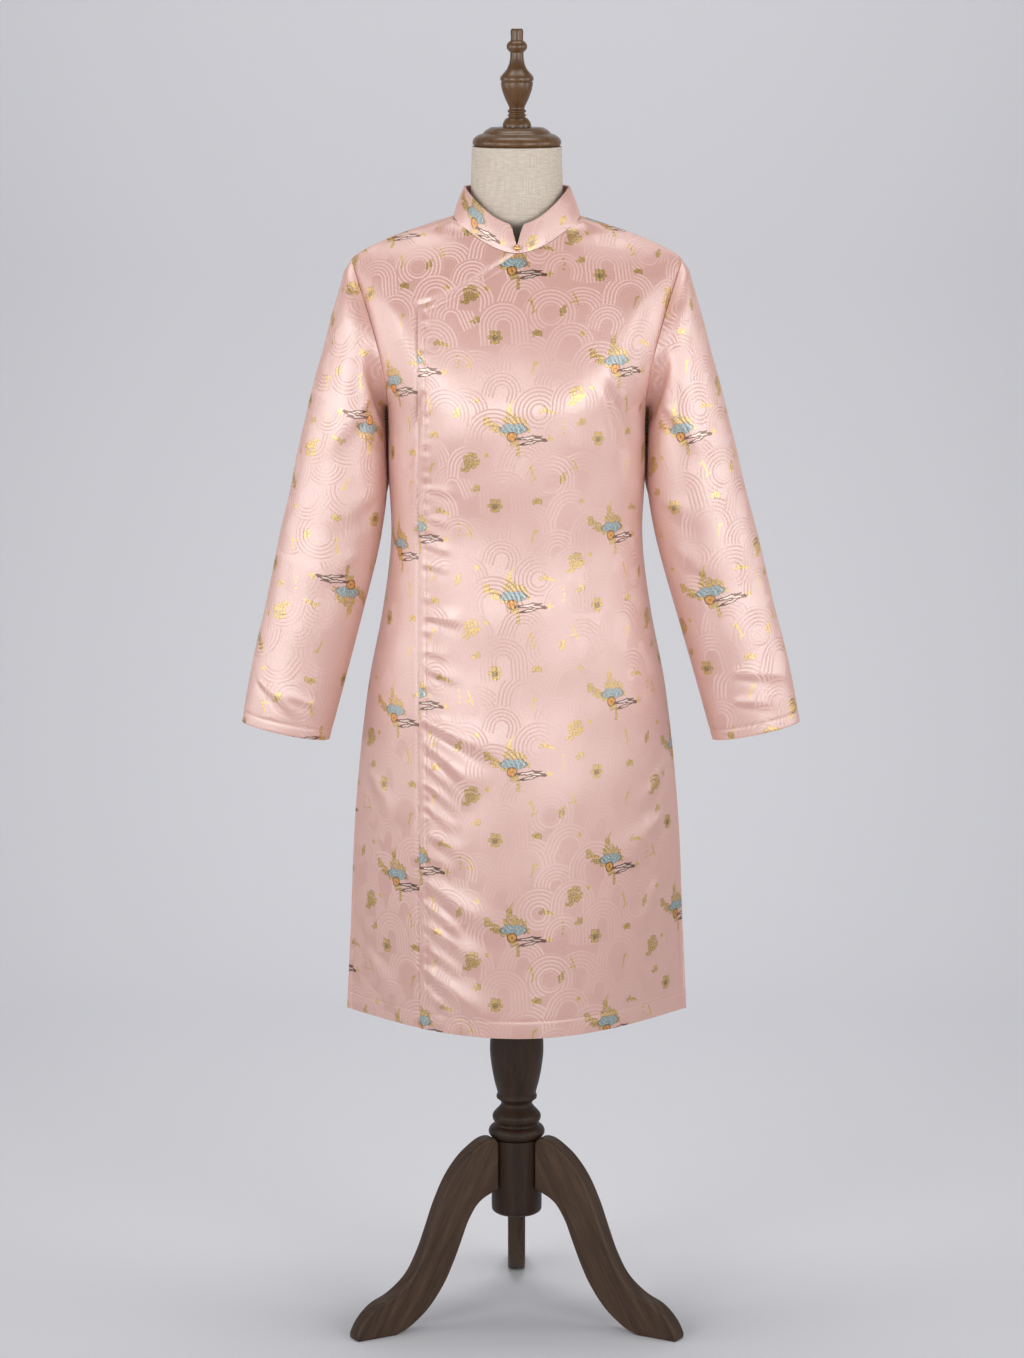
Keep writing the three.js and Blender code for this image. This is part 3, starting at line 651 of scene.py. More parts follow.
def woven_arches(tree, place):
    """1 on the arches' lines and 0 on the satin between. Later arches lie over earlier ones.
    A curled arch goes on round below its middle, where another stands on straight legs."""
    lines = 0.0
    for x, y, radius, legs, spacing, core, turn, curled in zip(*ARCHES.values()):
        away = on_repeat(tree, place, x, y)
        leaning = {"Vector": away, "Angle": math.radians(turn)}
        local = add_node(tree, "ShaderNodeVectorRotate", leaning, rotation_type="Z_AXIS")
        parts = add_node(tree, "ShaderNodeSeparateXYZ", {0: local})
        height = parts.node.outputs["Y"]
        if not curled:
            above = add_node(tree, "ShaderNodeMath", {0: height, 1: 0.0}, operation="MAXIMUM")
            local = add_node(tree, "ShaderNodeCombineXYZ", {"X": parts, "Y": above})
        reach = add_node(tree, "ShaderNodeVectorMath", {0: local}, operation="LENGTH")
        wave = add_node(tree, "ShaderNodeMath", {0: reach, 1: spacing / 2}, operation="PINGPONG")
        full, ends = (spacing * share for share in LINE_EDGES)
        soft_edge = {"Value": wave, "From Min": full, "From Max": ends, "To Min": 1.0, "To Max": 0.0}
        line = add_node(tree, "ShaderNodeMapRange", soft_edge)
        outside = add_node(tree, "ShaderNodeMath", {0: reach, 1: core}, operation="GREATER_THAN")
        line = add_node(tree, "ShaderNodeMath", {0: line, 1: outside}, operation="MULTIPLY")
        within = add_node(tree, "ShaderNodeMath", {0: reach, 1: radius}, operation="LESS_THAN")
        standing = add_node(tree, "ShaderNodeMath", {0: height, 1: -legs}, operation="GREATER_THAN")
        inside = add_node(tree, "ShaderNodeMath", {0: within, 1: standing}, operation="MULTIPLY")
        lines = add_node(tree, "ShaderNodeMix", {"Factor": inside, "A": lines, "B": line})
    return lines


# %% Silk brocade
GROUND_SATIN, ARCH_LINE = "#d19d90", "#d6a598"
GILT, GILT_HEART, GILT_RIM = "#d8b260", "#c4936f", "#94743c"
CLOUD_THREAD, CLOUD_SCROLL, CLOUD_RIM = "#63787c", "#9fb3ae", "#6b5836"
BUD_THREAD, BUD_RIM = "#d8902c", "#7c5620"
RIBBON_THREAD, RIBBON_RIM = "#dec6ba", "#6c3e24"


def silk_brocade():
    """Pink silk satin with woven arches and gilt and coloured wefts. The satin's long threads throw
    back a pale shine that is drawn out across them. The arches' threads run part of a turn round from
    the satin's, so the arches are darker in the shine and lighter beside it. The threads of the gilt,
    the buds and the ribbons are wound with metal, so they are partly metallic."""
    tree, finish = new_material("silk_brocade")
    bolt = add_node(tree, "ShaderNodeUVMap", uv_map="bolt")
    place = add_node(tree, "ShaderNodeVectorMath", {0: bolt, "Scale": 1 / MM}, operation="SCALE")
    motif = on_repeat(tree, place)
    tremble = add_node(tree, "ShaderNodeTexNoise", {"Vector": motif, "Scale": 0.22, "Detail": 1.0})
    either_way = {0: tremble.node.outputs["Color"], 1: (0.5, 0.5, 0.5)}
    centred = add_node(tree, "ShaderNodeVectorMath", either_way, operation="SUBTRACT")
    strayed = {0: centred, 1: (STRAY, STRAY, 0), 2: motif}
    shaken = add_node(tree, "ShaderNodeVectorMath", strayed, operation="MULTIPLY_ADD")

    curl_cells = {"Vector": motif, "Scale": 1 / CURL_SIZE, "Randomness": 0.7}
    cells = add_node(tree, "ShaderNodeTexVoronoi", curl_cells, voronoi_dimensions="2D")
    curls = nearest_oval(tree, cells.node.outputs["Position"], GILT_CURLS)
    threads = nearest_oval(tree, shaken, GILT_THREADS)
    cloud = nearest_oval(tree, shaken, CLOUD)
    bud = nearest_oval(tree, shaken, BUD)
    ribbons = nearest_oval(tree, shaken, RIBBONS)
    sun = nearest_oval(tree, motif, SUN_HEART)

    in_curl = add_node(tree, "ShaderNodeMath", {0: curls, 1: 1.0}, operation="LESS_THAN")
    round_curl = add_node(tree, "ShaderNodeMath", {0: cells, 1: CURL_EDGE}, operation="LESS_THAN")
    gilt_curl = add_node(tree, "ShaderNodeMath", {0: in_curl, 1: round_curl}, operation="MULTIPLY")
    heart = add_node(tree, "ShaderNodeMath", {0: cells, 1: CURL_HEART}, operation="LESS_THAN")
    rim = add_node(tree, "ShaderNodeMath", {0: cells, 1: CURL_RIM}, operation="GREATER_THAN")
    heart = add_node(tree, "ShaderNodeMath", {0: heart, 1: gilt_curl}, operation="MULTIPLY")
    rim = add_node(tree, "ShaderNodeMath", {0: rim, 1: gilt_curl}, operation="MULTIPLY")
    scroll = add_node(tree, "ShaderNodeMath", {0: cloud, 1: 0.24}, operation="PINGPONG")
    scroll = add_node(tree, "ShaderNodeMath", {0: scroll, 1: 0.07}, operation="LESS_THAN")
    in_cloud = add_node(tree, "ShaderNodeMath", {0: cloud, 1: 1.0}, operation="LESS_THAN")
    scroll = add_node(tree, "ShaderNodeMath", {0: scroll, 1: in_cloud}, operation="MULTIPLY")
    reaches = {
        "threads": (threads, 1.0),
        "cloud rim": (cloud, 1.26),
        "bud rim": (bud, 1.15),
        "bud": (bud, 0.88),
        "bud heart": (bud, 0.22),
        "sun": (sun, 1.0),
        "ribbon rim": (ribbons, 1.55),
        "ribbon": (ribbons, 0.72),
    }
    inside = {
        name: add_node(tree, "ShaderNodeMath", {0: distance, 1: reach}, operation="LESS_THAN")
        for name, (distance, reach) in reaches.items()
    }
    arches = woven_arches(tree, place)

    colour = linear(GROUND_SATIN)
    layers = [
        (arches, ARCH_LINE),
        (gilt_curl, GILT),
        (rim, GILT_RIM),
        (heart, GILT_HEART),
        (inside["threads"], GILT),
        (inside["sun"], GILT_RIM),
        (inside["cloud rim"], CLOUD_RIM),
        (in_cloud, CLOUD_THREAD),
        (scroll, CLOUD_SCROLL),
        (inside["bud rim"], BUD_RIM),
        (inside["bud"], BUD_THREAD),
        (inside["bud heart"], BUD_RIM),
        (inside["ribbon rim"], RIBBON_RIM),
        (inside["ribbon"], RIBBON_THREAD),
    ]
    for where, code in layers:
        laid_over = {"Factor": where, "A": colour, "B": linear(code)}
        colour = add_node(tree, "ShaderNodeMix", laid_over, data_type="RGBA")

    drawn_out = add_node(tree, "ShaderNodeMapping", {"Vector": place, "Scale": SLUB_STRETCH})
    slub = add_node(tree, "ShaderNodeTexNoise", {"Vector": drawn_out, "Scale": 1.0})
    shade = add_node(tree, "ShaderNodeMapRange", {"Value": slub, "To Min": 0.95, "To Max": 1.05})
    colour = add_node(tree, "ShaderNodeVectorMath", {0: colour, "Scale": shade}, operation="SCALE")

    gilt = add_node(tree, "ShaderNodeMath", {0: gilt_curl, 1: inside["threads"]}, operation="MAXIMUM")
    uncovered = add_node(tree, "ShaderNodeMix", {"Factor": inside["cloud rim"], "A": gilt, "B": 0.0})
    wound = {0: inside["bud rim"], 1: inside["ribbon rim"]}
    tinsel = add_node(tree, "ShaderNodeMath", wound, operation="MAXIMUM")
    metal = add_node(tree, "ShaderNodeMath", {0: uncovered, 1: tinsel}, operation="MAXIMUM")
    metal = add_node(tree, "ShaderNodeMath", {0: metal, 1: 0.5}, operation="MULTIPLY")
    part_turn = add_node(tree, "ShaderNodeMath", {0: arches, 1: 0.2}, operation="MULTIPLY")
    rough = add_node(tree, "ShaderNodeMix", {"Factor": arches, "A": 0.46, "B": 0.5})
    rough = add_node(tree, "ShaderNodeMix", {"Factor": gilt, "A": rough, "B": 0.4})
    weave = add_node(tree, "ShaderNodeBump", {"Height": slub, "Strength": 0.15, "Distance": 0.0004})
    across = add_node(tree, "ShaderNodeTangent", direction_type="UV_MAP", uv_map="bolt")
    return finish(
        base_color=colour,
        metallic=metal,
        roughness=rough,
        normal=weave,
        tangent=across,
        anisotropic=0.75,
        anisotropic_rotation=part_turn,
        specular_ior_level=1.0,
        ior=2.05,
    )


def satin_lining():
    """Plain pink lining satin: thin, smooth and softly shiny."""
    tree, finish = new_material("satin_lining")
    bolt = add_node(tree, "ShaderNodeUVMap", uv_map="bolt")
    grain = add_node(tree, "ShaderNodeMapping", {"Vector": bolt, "Scale": (200, 1600, 1)})
    thread = add_node(tree, "ShaderNodeTexNoise", {"Vector": grain, "Scale": 1.0, "Detail": 2.0})
    colour = add_node(
        tree,
        "ShaderNodeMix",
        {"Factor": thread, "A": linear("#d3a99f"), "B": linear("#e0bab0")},
        data_type="RGBA",
    )
    return finish(base_color=colour, roughness=0.48)


brocade = silk_brocade()
lining = satin_lining()
print("brocade nodes:", len(brocade.node_tree.nodes))

# %% [markdown]
# ## The body panels
#
# The tunic's body has three panels. The over front crosses from the left side seam to the right chest,
# and its slanted and straight edges are turned in and topstitched. The under front is the wearer's
# right side, and runs on a little behind that edge. The back is one piece with two darts. They are all
# cut from the same sections, so their edges meet along the shoulders, armholes and side seams.
#
# What sewing does to cloth is added to each grid: a seam draws the surface in, a line of stitches
# lies in a groove, and the cloth puckers slightly between the stitches and the edge.

# %% What sewing does
SEAM_DIP, SEAM_REACH = 0.45, 3.0
TOP_SEAM_DIP = 0.4
STITCH_FROM_EDGE = 8.5
HEM_STITCH_Z = HEM_Z + 21
HEM_ROLL, HEM_ROLL_Z, HEM_ROLL_WIDTH = 0.35, HEM_Z + 8, 9
SLIT_STITCH = 9.0
GROOVE_DEPTH, GROOVE_WIDTH = 0.5, 1.8
SLIT_GROOVE_DEPTH, EDGE_GROOVE_WIDTH = 0.45, 1.4
EDGE_ROLL, EDGE_ROLL_AT, EDGE_ROLL_WIDTH = 0.4, 4, 3.2
PUCKER_RISE, PUCKER_WIDTH = 0.24, 5


def neck_front_z(x):
    return mix(NECK_FRONT_Z, NECK_Z, np.clip(np.abs(x) / NECK_X, 0, 1) ** NECK_CURVE)


def front_top_z(x):
    return np.where(np.abs(x) < NECK_X, neck_front_z(x), shoulder_z(np.abs(x)))


def back_top_z(x):
    return np.where(np.abs(x) < NECK_X, NECK_Z, shoulder_z(np.abs(x)))


def opening_z(x):
    share = np.clip((x - OPENING_X) / -OPENING_X, 0, 1)
    return mix(OPENING_Z, NECK_FRONT_Z, share**OPENING_CURVE)


def over_top_z(x):
    return np.where(x < 0, opening_z(x), front_top_z(x))


def bump_at(distance, place, width):
    """1 on a line at a distance from an edge, falling to 0 around it."""
    return np.exp(-(((distance - place) / width) ** 2))


def from_opening(x, z):
    """How far a point of the over front lies inside its slanted and straight edges."""
    slope = (NECK_FRONT_Z - OPENING_Z) / -OPENING_X
    below_slant = (opening_z(x) - z) / math.hypot(1, slope)
    return np.minimum(x - OPENING_X, np.where(x < 0, below_slant, np.inf))


def sewn_rise(x, z, top, depth):
    """What the seams, the hem and the slits do to a panel's surface."""
    to_armhole = seam_x(z) - np.abs(x)
    rise = -SEAM_DIP * bump_at(to_armhole, 0, SEAM_REACH) * smooth((z - UNDERARM_Z + 12) / 20)
    rise -= TOP_SEAM_DIP * bump_at(top - z, 0, SEAM_REACH)
    rise += HEM_ROLL * bump_at(z, HEM_ROLL_Z, HEM_ROLL_WIDTH)
    rise -= GROOVE_DEPTH * bump_at(z, HEM_STITCH_Z, GROOVE_WIDTH)
    to_side = np.hypot(half_width(z) - np.abs(x), depth)
    groove = SLIT_GROOVE_DEPTH * bump_at(to_side, SLIT_STITCH, GROOVE_WIDTH)
    return rise - groove * smooth((SLIT_TOP - z) / 30)


def edge_rise(distance, run):
    """The turned edge of the closing: a low roll, the groove of its stitches, and puckers."""
    roll = EDGE_ROLL * bump_at(distance, EDGE_ROLL_AT, EDGE_ROLL_WIDTH)
    groove = GROOVE_DEPTH * bump_at(distance, STITCH_FROM_EDGE, EDGE_GROOVE_WIDTH)
    pucker = np.sin(run / 2.1) + np.sin(run / 3.3 + 1) + 0.8 * np.sin(run / 6.1 + 2)
    return roll - groove + PUCKER_RISE * pucker * bump_at(distance, STITCH_FROM_EDGE + 1, PUCKER_WIDTH)


# %% Panels
TOP_SEARCH_STEPS = 40  # halvings, when a column's top edge is looked for


def panel(side, from_x, to_x, top_z, turns, shares, downs, rise=None):
    """A body panel's points and their places on the bolt, at shares across and down. turns are the
    angles round the body, in degrees, where the panel starts and ends. They even out its columns."""
    start, end = np.radians(turns)
    swing = (np.sin(mix(start, end, shares)) - math.sin(start)) / (math.sin(end) - math.sin(start))

    def across(share, z):
        return mix(from_x(z), to_x(z), share)

    low, high = np.full(shares.shape, UNDERARM_Z, float), np.full(shares.shape, NECK_Z + 1.0)
    for _ in range(TOP_SEARCH_STEPS):
        middle = (low + high) / 2
        below = middle < top_z(across(swing, middle))
        low, high = np.where(below, middle, low), np.where(below, high, middle)
    z = mix(low[:, None], HEM_Z, downs[None, :])
    x = across(swing[:, None], z)
    grid = cloth_point(side, x, z)
    lift = sewn_rise(x, z, low[:, None], np.abs(grid[..., 1]))
    if rise:
        lift = lift + rise(x, z)
    on_seam = np.abs(grid[..., 1]) <= SEAM_GAP + SLIT_HALF_WIDTH
    grid = grid + grid_normals(grid) * np.where(on_seam, 0, lift)[..., None]
    return grid, on_bolt(side, x, z)


def on_bolt(side, x, z):
    """How far each point is across the grain from the middle, and up the grain from the hem, with
    the folds smoothed out."""
    steps = np.linspace(0, 1, 25)
    turn = np.arcsin(np.clip(x / half_width(z), -1, 1))[..., None] * steps
    xs = half_width(z)[..., None] * np.sin(turn)
    ys = plain_depth(side, xs, np.broadcast_to(z[..., None], xs.shape))[0]
    u = np.hypot(np.diff(xs), np.diff(ys)).sum(-1) * np.sign(x)
    depth = plain_depth(side, x, z)[0]
    rise = np.hypot(np.diff(depth, axis=1), np.diff(z, axis=1))
    v = np.concatenate([np.cumsum(rise[:, ::-1], axis=1)[:, ::-1], np.zeros((len(x), 1))], axis=1)
    return np.stack([u if side == "front" else -u, v], -1)


def constant(value):
    return lambda z: np.full(np.shape(z), float(value))


def under_inner_x(z):
    foot = OPENING_Z - UNDERLAP
    return mix(OPENING_X + UNDERLAP, 0, np.clip((z - foot) / (NECK_FRONT_Z - foot), 0, 1))


def tucked(x, z):
    """The under front steps back behind the closing edge."""
    behind_straight = smooth((x - OPENING_X + 4) / 4)
    behind_slant = smooth((opening_z(x) - z + 5) / 5)
    return -LAP_DEPTH * behind_straight * behind_slant


def over_edge(x, z):
    distance = from_opening(x, z)
    return edge_rise(distance, np.where(x - OPENING_X < distance + 1, z, x * 1.1))


# How each piece is cut: the rectangle that it comes out of in metres, its own area in square metres,
# and where it lies on the bolt in millimetres.
CUT = {
    "over_front": {"flat": (0.50, 1.00), "area": 0.385, "bolt": (4, -132)},
    "under_front": {"flat": (0.27, 1.00), "area": 0.155, "bolt": (165, 15)},
    "back": {"flat": (0.64, 1.01), "area": 0.52, "bolt": (0, 0)},
    "sleeve_left": {"flat": (0.40, 0.62), "area": 0.2, "bolt": (95, 18)},
    "sleeve_right": {"flat": (0.40, 0.62), "area": 0.2, "bolt": (118, 185)},
    "collar": {"flat": (0.43, 0.045), "area": 0.0165, "bolt": (-179, -22)},
}


def cut_from(name, bolt):
    """Moves a piece's places on the bolt to where it is cut from it."""
    return bolt + CUT[name]["bolt"]


front_rows = gathered_shares(300, (0, 0.012, 2), (0.978, 0.01, 2))
back_rows = gathered_shares(225, (0, 0.012, 2.5), (0.978, 0.01, 2.5))

over_front_grid, bolt = panel(
    "front",
    from_x=constant(OPENING_X),
    to_x=seam_x,
    top_z=over_top_z,
    turns=(-37, 88),
    shares=gathered_shares(112, (0, 0.045, 4), (1, 0.02, 1.5)),
    downs=front_rows,
    rise=over_edge,
)
over_front = cloth_piece("over_front_cloth", over_front_grid, cut_from("over_front", bolt))

under_front_grid, bolt = panel(
    "front",
    from_x=lambda z: -seam_x(z),
    to_x=under_inner_x,
    top_z=front_top_z,
    turns=(-88, -30),
    shares=gathered_shares(64, (0, 0.03, 1.5)),
    downs=front_rows,
    rise=tucked,
)
under_front = cloth_piece("under_front_cloth", under_front_grid, cut_from("under_front", bolt))

back_grid, bolt = panel(
    "back",
    from_x=seam_x,
    to_x=lambda z: -seam_x(z),
    top_z=back_top_z,
    turns=(88, -88),
    shares=gathered_shares(140),
    downs=back_rows,
)
back = cloth_piece("back_cloth", back_grid, cut_from("back", bolt))
print("panel areas, m2:", [round(flat_area(g), 3) for g in (over_front_grid, under_front_grid, back_grid)])

# %% [markdown]
# ## The sleeves
#
# A set-in sleeve starts on the armhole seam and turns into a tube that hangs a little forward, as an
# arm does. Its rings are given by their outer and inner edges, and a smooth curve runs through them
# down the arm. The grid is closed at the underarm seam, where a real sleeve is sewn. Its grain runs
# up from the cuff. The wearer's right sleeve was cut the other way up, as thrifty cutters do, so
# its pattern hangs upside down.

# %% Sleeves
SLEEVE_RINGS = table(
    "out_x out_z in_x in_z deep fore",
    (208, 1289, 157.8, 1131, 51, 1),
    (220, 1252, 158.6, 1119, 53, 2),
    (231, 1212, 158, 1103, 54, 4),
    (242, 1172, 157.3, 1085, 54, 5),
    (254, 1124, 156.6, 1062, 53, 6),
    (266, 1076, 157, 1030, 52, 7),
    (278, 1022, 163.2, 988, 51, 8),
    (291, 968, 171.5, 950, 49, 10),
    (303, 914, 186.8, 894, 46, 13),
    (316, 860, 201.8, 840, 43, 17),
    (328, 806, 216.8, 786, 40, 21),
    (338, 753, 232, 731, 37, 25),
)
SWAY_START = 3
SLEEVE_ROWS, SLEEVE_COLUMNS = 150, 100
ARMPIT_HOLLOW = 6.5  # how deep the cloth sinks in front, where it turns from the body into the sleeve
HOLLOW_AT, HOLLOW_WIDTH = 16, 13
PUFF_RISE, PUFF_AT, PUFF_WIDTH = 1.5, 14, 10  # the sleeve's head stands a little proud of its seam
SLEEVE_RIPPLE = 0.8
UNDERARM_SEAM_DIP = 0.8
CUFF_STITCH = 13.0
WIDEST_ROUND = 350  # the cut gets no wider, however long a ring round the sleeve is
ARMHOLE_GAP = 0.05

# Across the grain from the outer line (forward is negative on the left), and up from the cuff.
LEFT_SLEEVE_FOLDS = table(
    "x0 z0 x1 z1 width rise bend",
    (149, 412, 146, 292, 14, 10.8, 0),  # behind, where the sleeve rests against the body's side
    (-118, 418, -70, 352, 17, 2.2, 5),
    (-132, 300, -88, 268, 16, 1.0, 4),
    (-126, 240, -84, 200, 16, 0.9, -4),
    (60, 270, 118, 240, 12, 2.6, 4),
    (-84, 78, -20, 60, 11, 1.5, 3),
    (-90, 44, -52, 34, 8, 1.2, 2),
)
RIGHT_SLEEVE_FOLDS = table(
    "x0 z0 x1 z1 width rise bend",
    (-149, 412, -146, 292, 14, 10.8, 0),
    (118, 424, 66, 350, 17, 2.2, -5),
    (134, 306, 84, 262, 16, 1.0, -4),
    (120, 230, 80, 190, 16, 0.8, 4),
    (-60, 262, -118, 236, 12, 2.6, 4),
    (30, 58, 80, 30, 8, 1.8, 3),
    (100, 40, 62, 52, 8, 1.2, 2),
)


def sleeve(side, sway, folds):
    """A sleeve's points and their places on its cut. side is 1 for the wearer's left and -1 for the right."""
    turns = np.linspace(-np.pi, np.pi, SLEEVE_COLUMNS + 1)
    upper = (1 + np.cos(turns)) / 2
    to_back = side * np.sin(turns)
    z = mix(UNDERARM_Z, SHOULDER_Z, upper)
    x = seam_x(z)
    depth = np.where(to_back > 0, plain_depth("back", x, z)[0], plain_depth("front", x, z)[0])
    armhole = np.stack([side * (x + ARMHOLE_GAP), np.sign(to_back) * depth, z], -1)
    stations = [armhole]
    count = len(SLEEVE_RINGS["deep"])
    for k, (out_x, out_z, in_x, in_z, deep, fore) in enumerate(zip(*SLEEVE_RINGS.values())):
        out = sway * smooth((k - SWAY_START) / (count - 1 - SWAY_START))
        x = side * (mix(in_x, out_x, upper) + out)
        stations.append(np.stack([x, side * deep * np.sin(turns) - fore, mix(in_z, out_z, upper)], -1))
    stations = np.array(stations)
    middle = stations.mean(axis=1)
    run = np.concatenate([[0], np.cumsum(np.linalg.norm(np.diff(middle, axis=0), axis=-1))])
    downs = gathered_shares(SLEEVE_ROWS, (0, 0.012, 2), (0.975, 0.015, 2)) * run[-1]
    grid = along(np.arange(count + 1.0), stations, np.interp(downs, run, np.arange(count + 1.0)))
    grid = grid.transpose(1, 0, 2)
    width = np.linalg.norm(grid[SLEEVE_COLUMNS // 2] - grid[0], axis=-1)
    depth = np.linalg.norm(grid[SLEEVE_COLUMNS // 4] - grid[3 * SLEEVE_COLUMNS // 4], axis=-1)
    round_length = np.minimum(np.pi * (width + depth) / 2, WIDEST_ROUND)
    u = turns[:, None] / (2 * np.pi) * round_length
    down = np.linalg.norm(np.diff(grid, axis=1), axis=-1)
    v = np.concatenate([np.cumsum(down[:, ::-1], axis=1)[:, ::-1], np.zeros((len(turns), 1))], axis=1)
    from_armhole = v[:, :1] - v
    off_body = smooth(upper[:, None] / 0.12)
    waves = SLEEVE_RIPPLE * ripple(u * 1.3, v) * smooth(from_armhole / 60) * off_body
    lift = fold_rise(folds, u, v) + waves
    in_front = smooth(-to_back[:, None] / 0.6) * smooth((0.5 - upper[:, None]) / 0.3)
    lift -= ARMPIT_HOLLOW * bump_at(from_armhole, HOLLOW_AT, HOLLOW_WIDTH) * in_front
    lift -= SEAM_DIP * bump_at(from_armhole, 0, SEAM_REACH)
    lift -= GROOVE_DEPTH * bump_at(v, CUFF_STITCH, GROOVE_WIDTH)
    lift -= UNDERARM_SEAM_DIP * bump_at(np.abs(turns[:, None]), np.pi, 0.05)
    puffed = PUFF_RISE * bump_at(from_armhole, PUFF_AT, PUFF_WIDTH) * smooth((upper[:, None] - 0.35) / 0.4)
    lift = (lift + puffed) * smooth(from_armhole / 4) + 0 * u
    grid = grid + grid_normals(grid, closed=True) * lift[..., None]
    return grid, np.stack([u, v], -1)


left_grid, bolt = sleeve(1, 5, LEFT_SLEEVE_FOLDS)
sleeve_left = cloth_piece("sleeve_left_cloth", left_grid, cut_from("sleeve_left", bolt), closed=True)
right_grid, bolt = sleeve(-1, -5, RIGHT_SLEEVE_FOLDS)
sleeve_right = cloth_piece("sleeve_right_cloth", right_grid, cut_from("sleeve_right", -bolt), closed=True)
print("sleeve areas, m2:", round(flat_area(left_grid), 3), round(flat_area(right_grid), 3))

# %% [markdown]
# ## The collar
#
# The stand collar is one stiffened band. Its foot follows the neckline, and it leans in a little as it
# rises, higher behind than in front. At the throat its two ends part in a narrow V with rounded
# tips. It is made as a grid like the panels, only thicker, and its foot is drawn into the neck seam.

# %% Collar
COLLAR_TOP_X, COLLAR_TOP_FRONT, COLLAR_TOP_BACK = 63, 65, 60
COLLAR_FRONT_Z, COLLAR_SIDE_Z = 1355, 1397
COLLAR_THICKNESS = 2.2
NOTCH_CLOSED, NOTCH_HALF_WIDTH = 0.27, 6.8
TIP_RADIUS = 4.5
COLLAR_RADIUS, TIP_HEIGHT = 68, 33  # on average, and at the throat
COLLAR_CROWN, COLLAR_FOOT_DIP, COLLAR_RAISED = 0.9, 0.3, 0.25
COLLAR_COLUMNS, COLLAR_ROWS = 200, 18


def collar_grid():
    """The collar's points, from one end of the band to the other, and their places on its cut."""
    shares = gathered_shares(COLLAR_COLUMNS, (0, 0.015, 3), (1, 0.015, 3))[:, None]
    heights = 1 - gathered_shares(COLLAR_ROWS, (0, 0.1, 1.5), (1, 0.1, 1.5))[None, :]
    to_end = np.minimum(shares, 1 - shares) * 2 * np.pi * COLLAR_RADIUS
    corner = TIP_RADIUS - np.sqrt(np.maximum(TIP_RADIUS**2 - np.maximum(TIP_RADIUS - to_end, 0) ** 2, 0))
    heights = heights * (1 - corner / TIP_HEIGHT)
    opened = SEAM_GAP + NOTCH_HALF_WIDTH * np.clip((heights - NOTCH_CLOSED) / (1 - NOTCH_CLOSED), 0, 1)
    end = np.arcsin(opened / mix(NECK_X, COLLAR_TOP_X, heights))
    turn = mix(end, 2 * np.pi - end, shares)
    front = np.cos(turn) > 0
    rise = np.where(front, np.abs(np.sin(turn)) ** NECK_CURVE, 1)
    x = NECK_X * np.sin(turn)
    z = mix(NECK_FRONT_Z, NECK_Z, rise)
    foot = np.where(front[..., None], cloth_point("front", x, z), cloth_point("back", x, z))
    depth = np.where(front, COLLAR_TOP_FRONT, COLLAR_TOP_BACK)
    top = np.stack(
        [COLLAR_TOP_X * np.sin(turn), -depth * np.cos(turn), mix(COLLAR_FRONT_Z, COLLAR_SIDE_Z, rise)], -1
    )
    grid = mix(foot, top, heights[..., None])
    normals = grid_normals(grid)
    lift = COLLAR_CROWN * np.sin(np.pi * heights) - COLLAR_FOOT_DIP * bump_at(heights, 0, 0.09)
    grid = grid + normals * lift[..., None]
    grid[..., 2] += COLLAR_RAISED
    across = np.linalg.norm(np.diff(grid[:, -1], axis=0), axis=-1)
    u = np.concatenate([[0], np.cumsum(across)])
    v = heights * np.linalg.norm(top - foot, axis=-1)
    return grid, np.stack([(u - u[-1] / 2)[:, None] + 0 * v, v], -1)


neck_grid, bolt = collar_grid()
collar = cloth_piece("collar_band", neck_grid, cut_from("collar", bolt), thickness=COLLAR_THICKNESS)
print("collar area, m2:", round(flat_area(neck_grid), 4))

# %% [markdown]
# ## Stitches
#
# Topstitching holds every turned edge: the closing, the hem, the slits and the cuffs. Hundreds of
# stitches in a row follow one rule, so Geometry Nodes make them: a guide line becomes a curve, the
# curve is cut into even steps, and each step gets one short thread, turned along the line and away
# from the cloth. The guide lines are drawn on the panels' plain form and then pressed onto the cloth.

# %% Geometry Nodes helpers
def shape_tree(name, **sockets):
    """An empty tree with a geometry going in and out, and these named inputs, each a kind of socket."""
    tree = bpy.data.node_groups.new(name, "GeometryNodeTree")
    tree.interface.new_socket("Geometry", in_out="OUTPUT", socket_type="NodeSocketGeometry")
    tree.interface.new_socket("Geometry", in_out="INPUT", socket_type="NodeSocketGeometry")
    for title, kind in sockets.items():
        tree.interface.new_socket(title, in_out="INPUT", socket_type=f"NodeSocket{kind}")
    return tree, tree.nodes.new("NodeGroupInput").outputs


def end_tree(tree, shape, material):
    """Realizes what the tree made, gives it its material and sends it out."""
    real = add_node(tree, "GeometryNodeRealizeInstances", {"Geometry": shape})
    painted = add_node(tree, "GeometryNodeSetMaterial", {"Geometry": real, "Material": material})
    add_node(tree, "NodeGroupOutput", {"Geometry": painted})
    return tree


def grown(name, guide, tree, **values):
    """Runs a tree on a guide mesh and gives back a plain mesh object of what it makes."""
    carrier = link(f"{name}_guide", guide)
    modifier = carrier.modifiers.new("tree", "NODES")
    modifier.node_group = tree
    for socket in tree.interface.items_tree:
        if socket.in_out == "INPUT" and socket.name in values:
            modifier[socket.identifier] = values[socket.name]
    evaluated = carrier.evaluated_get(bpy.context.evaluated_depsgraph_get())
    mesh = bpy.data.meshes.new_from_object(evaluated)
    bpy.data.objects.remove(carrier)
    mesh.name = name
    return link(name, mesh)


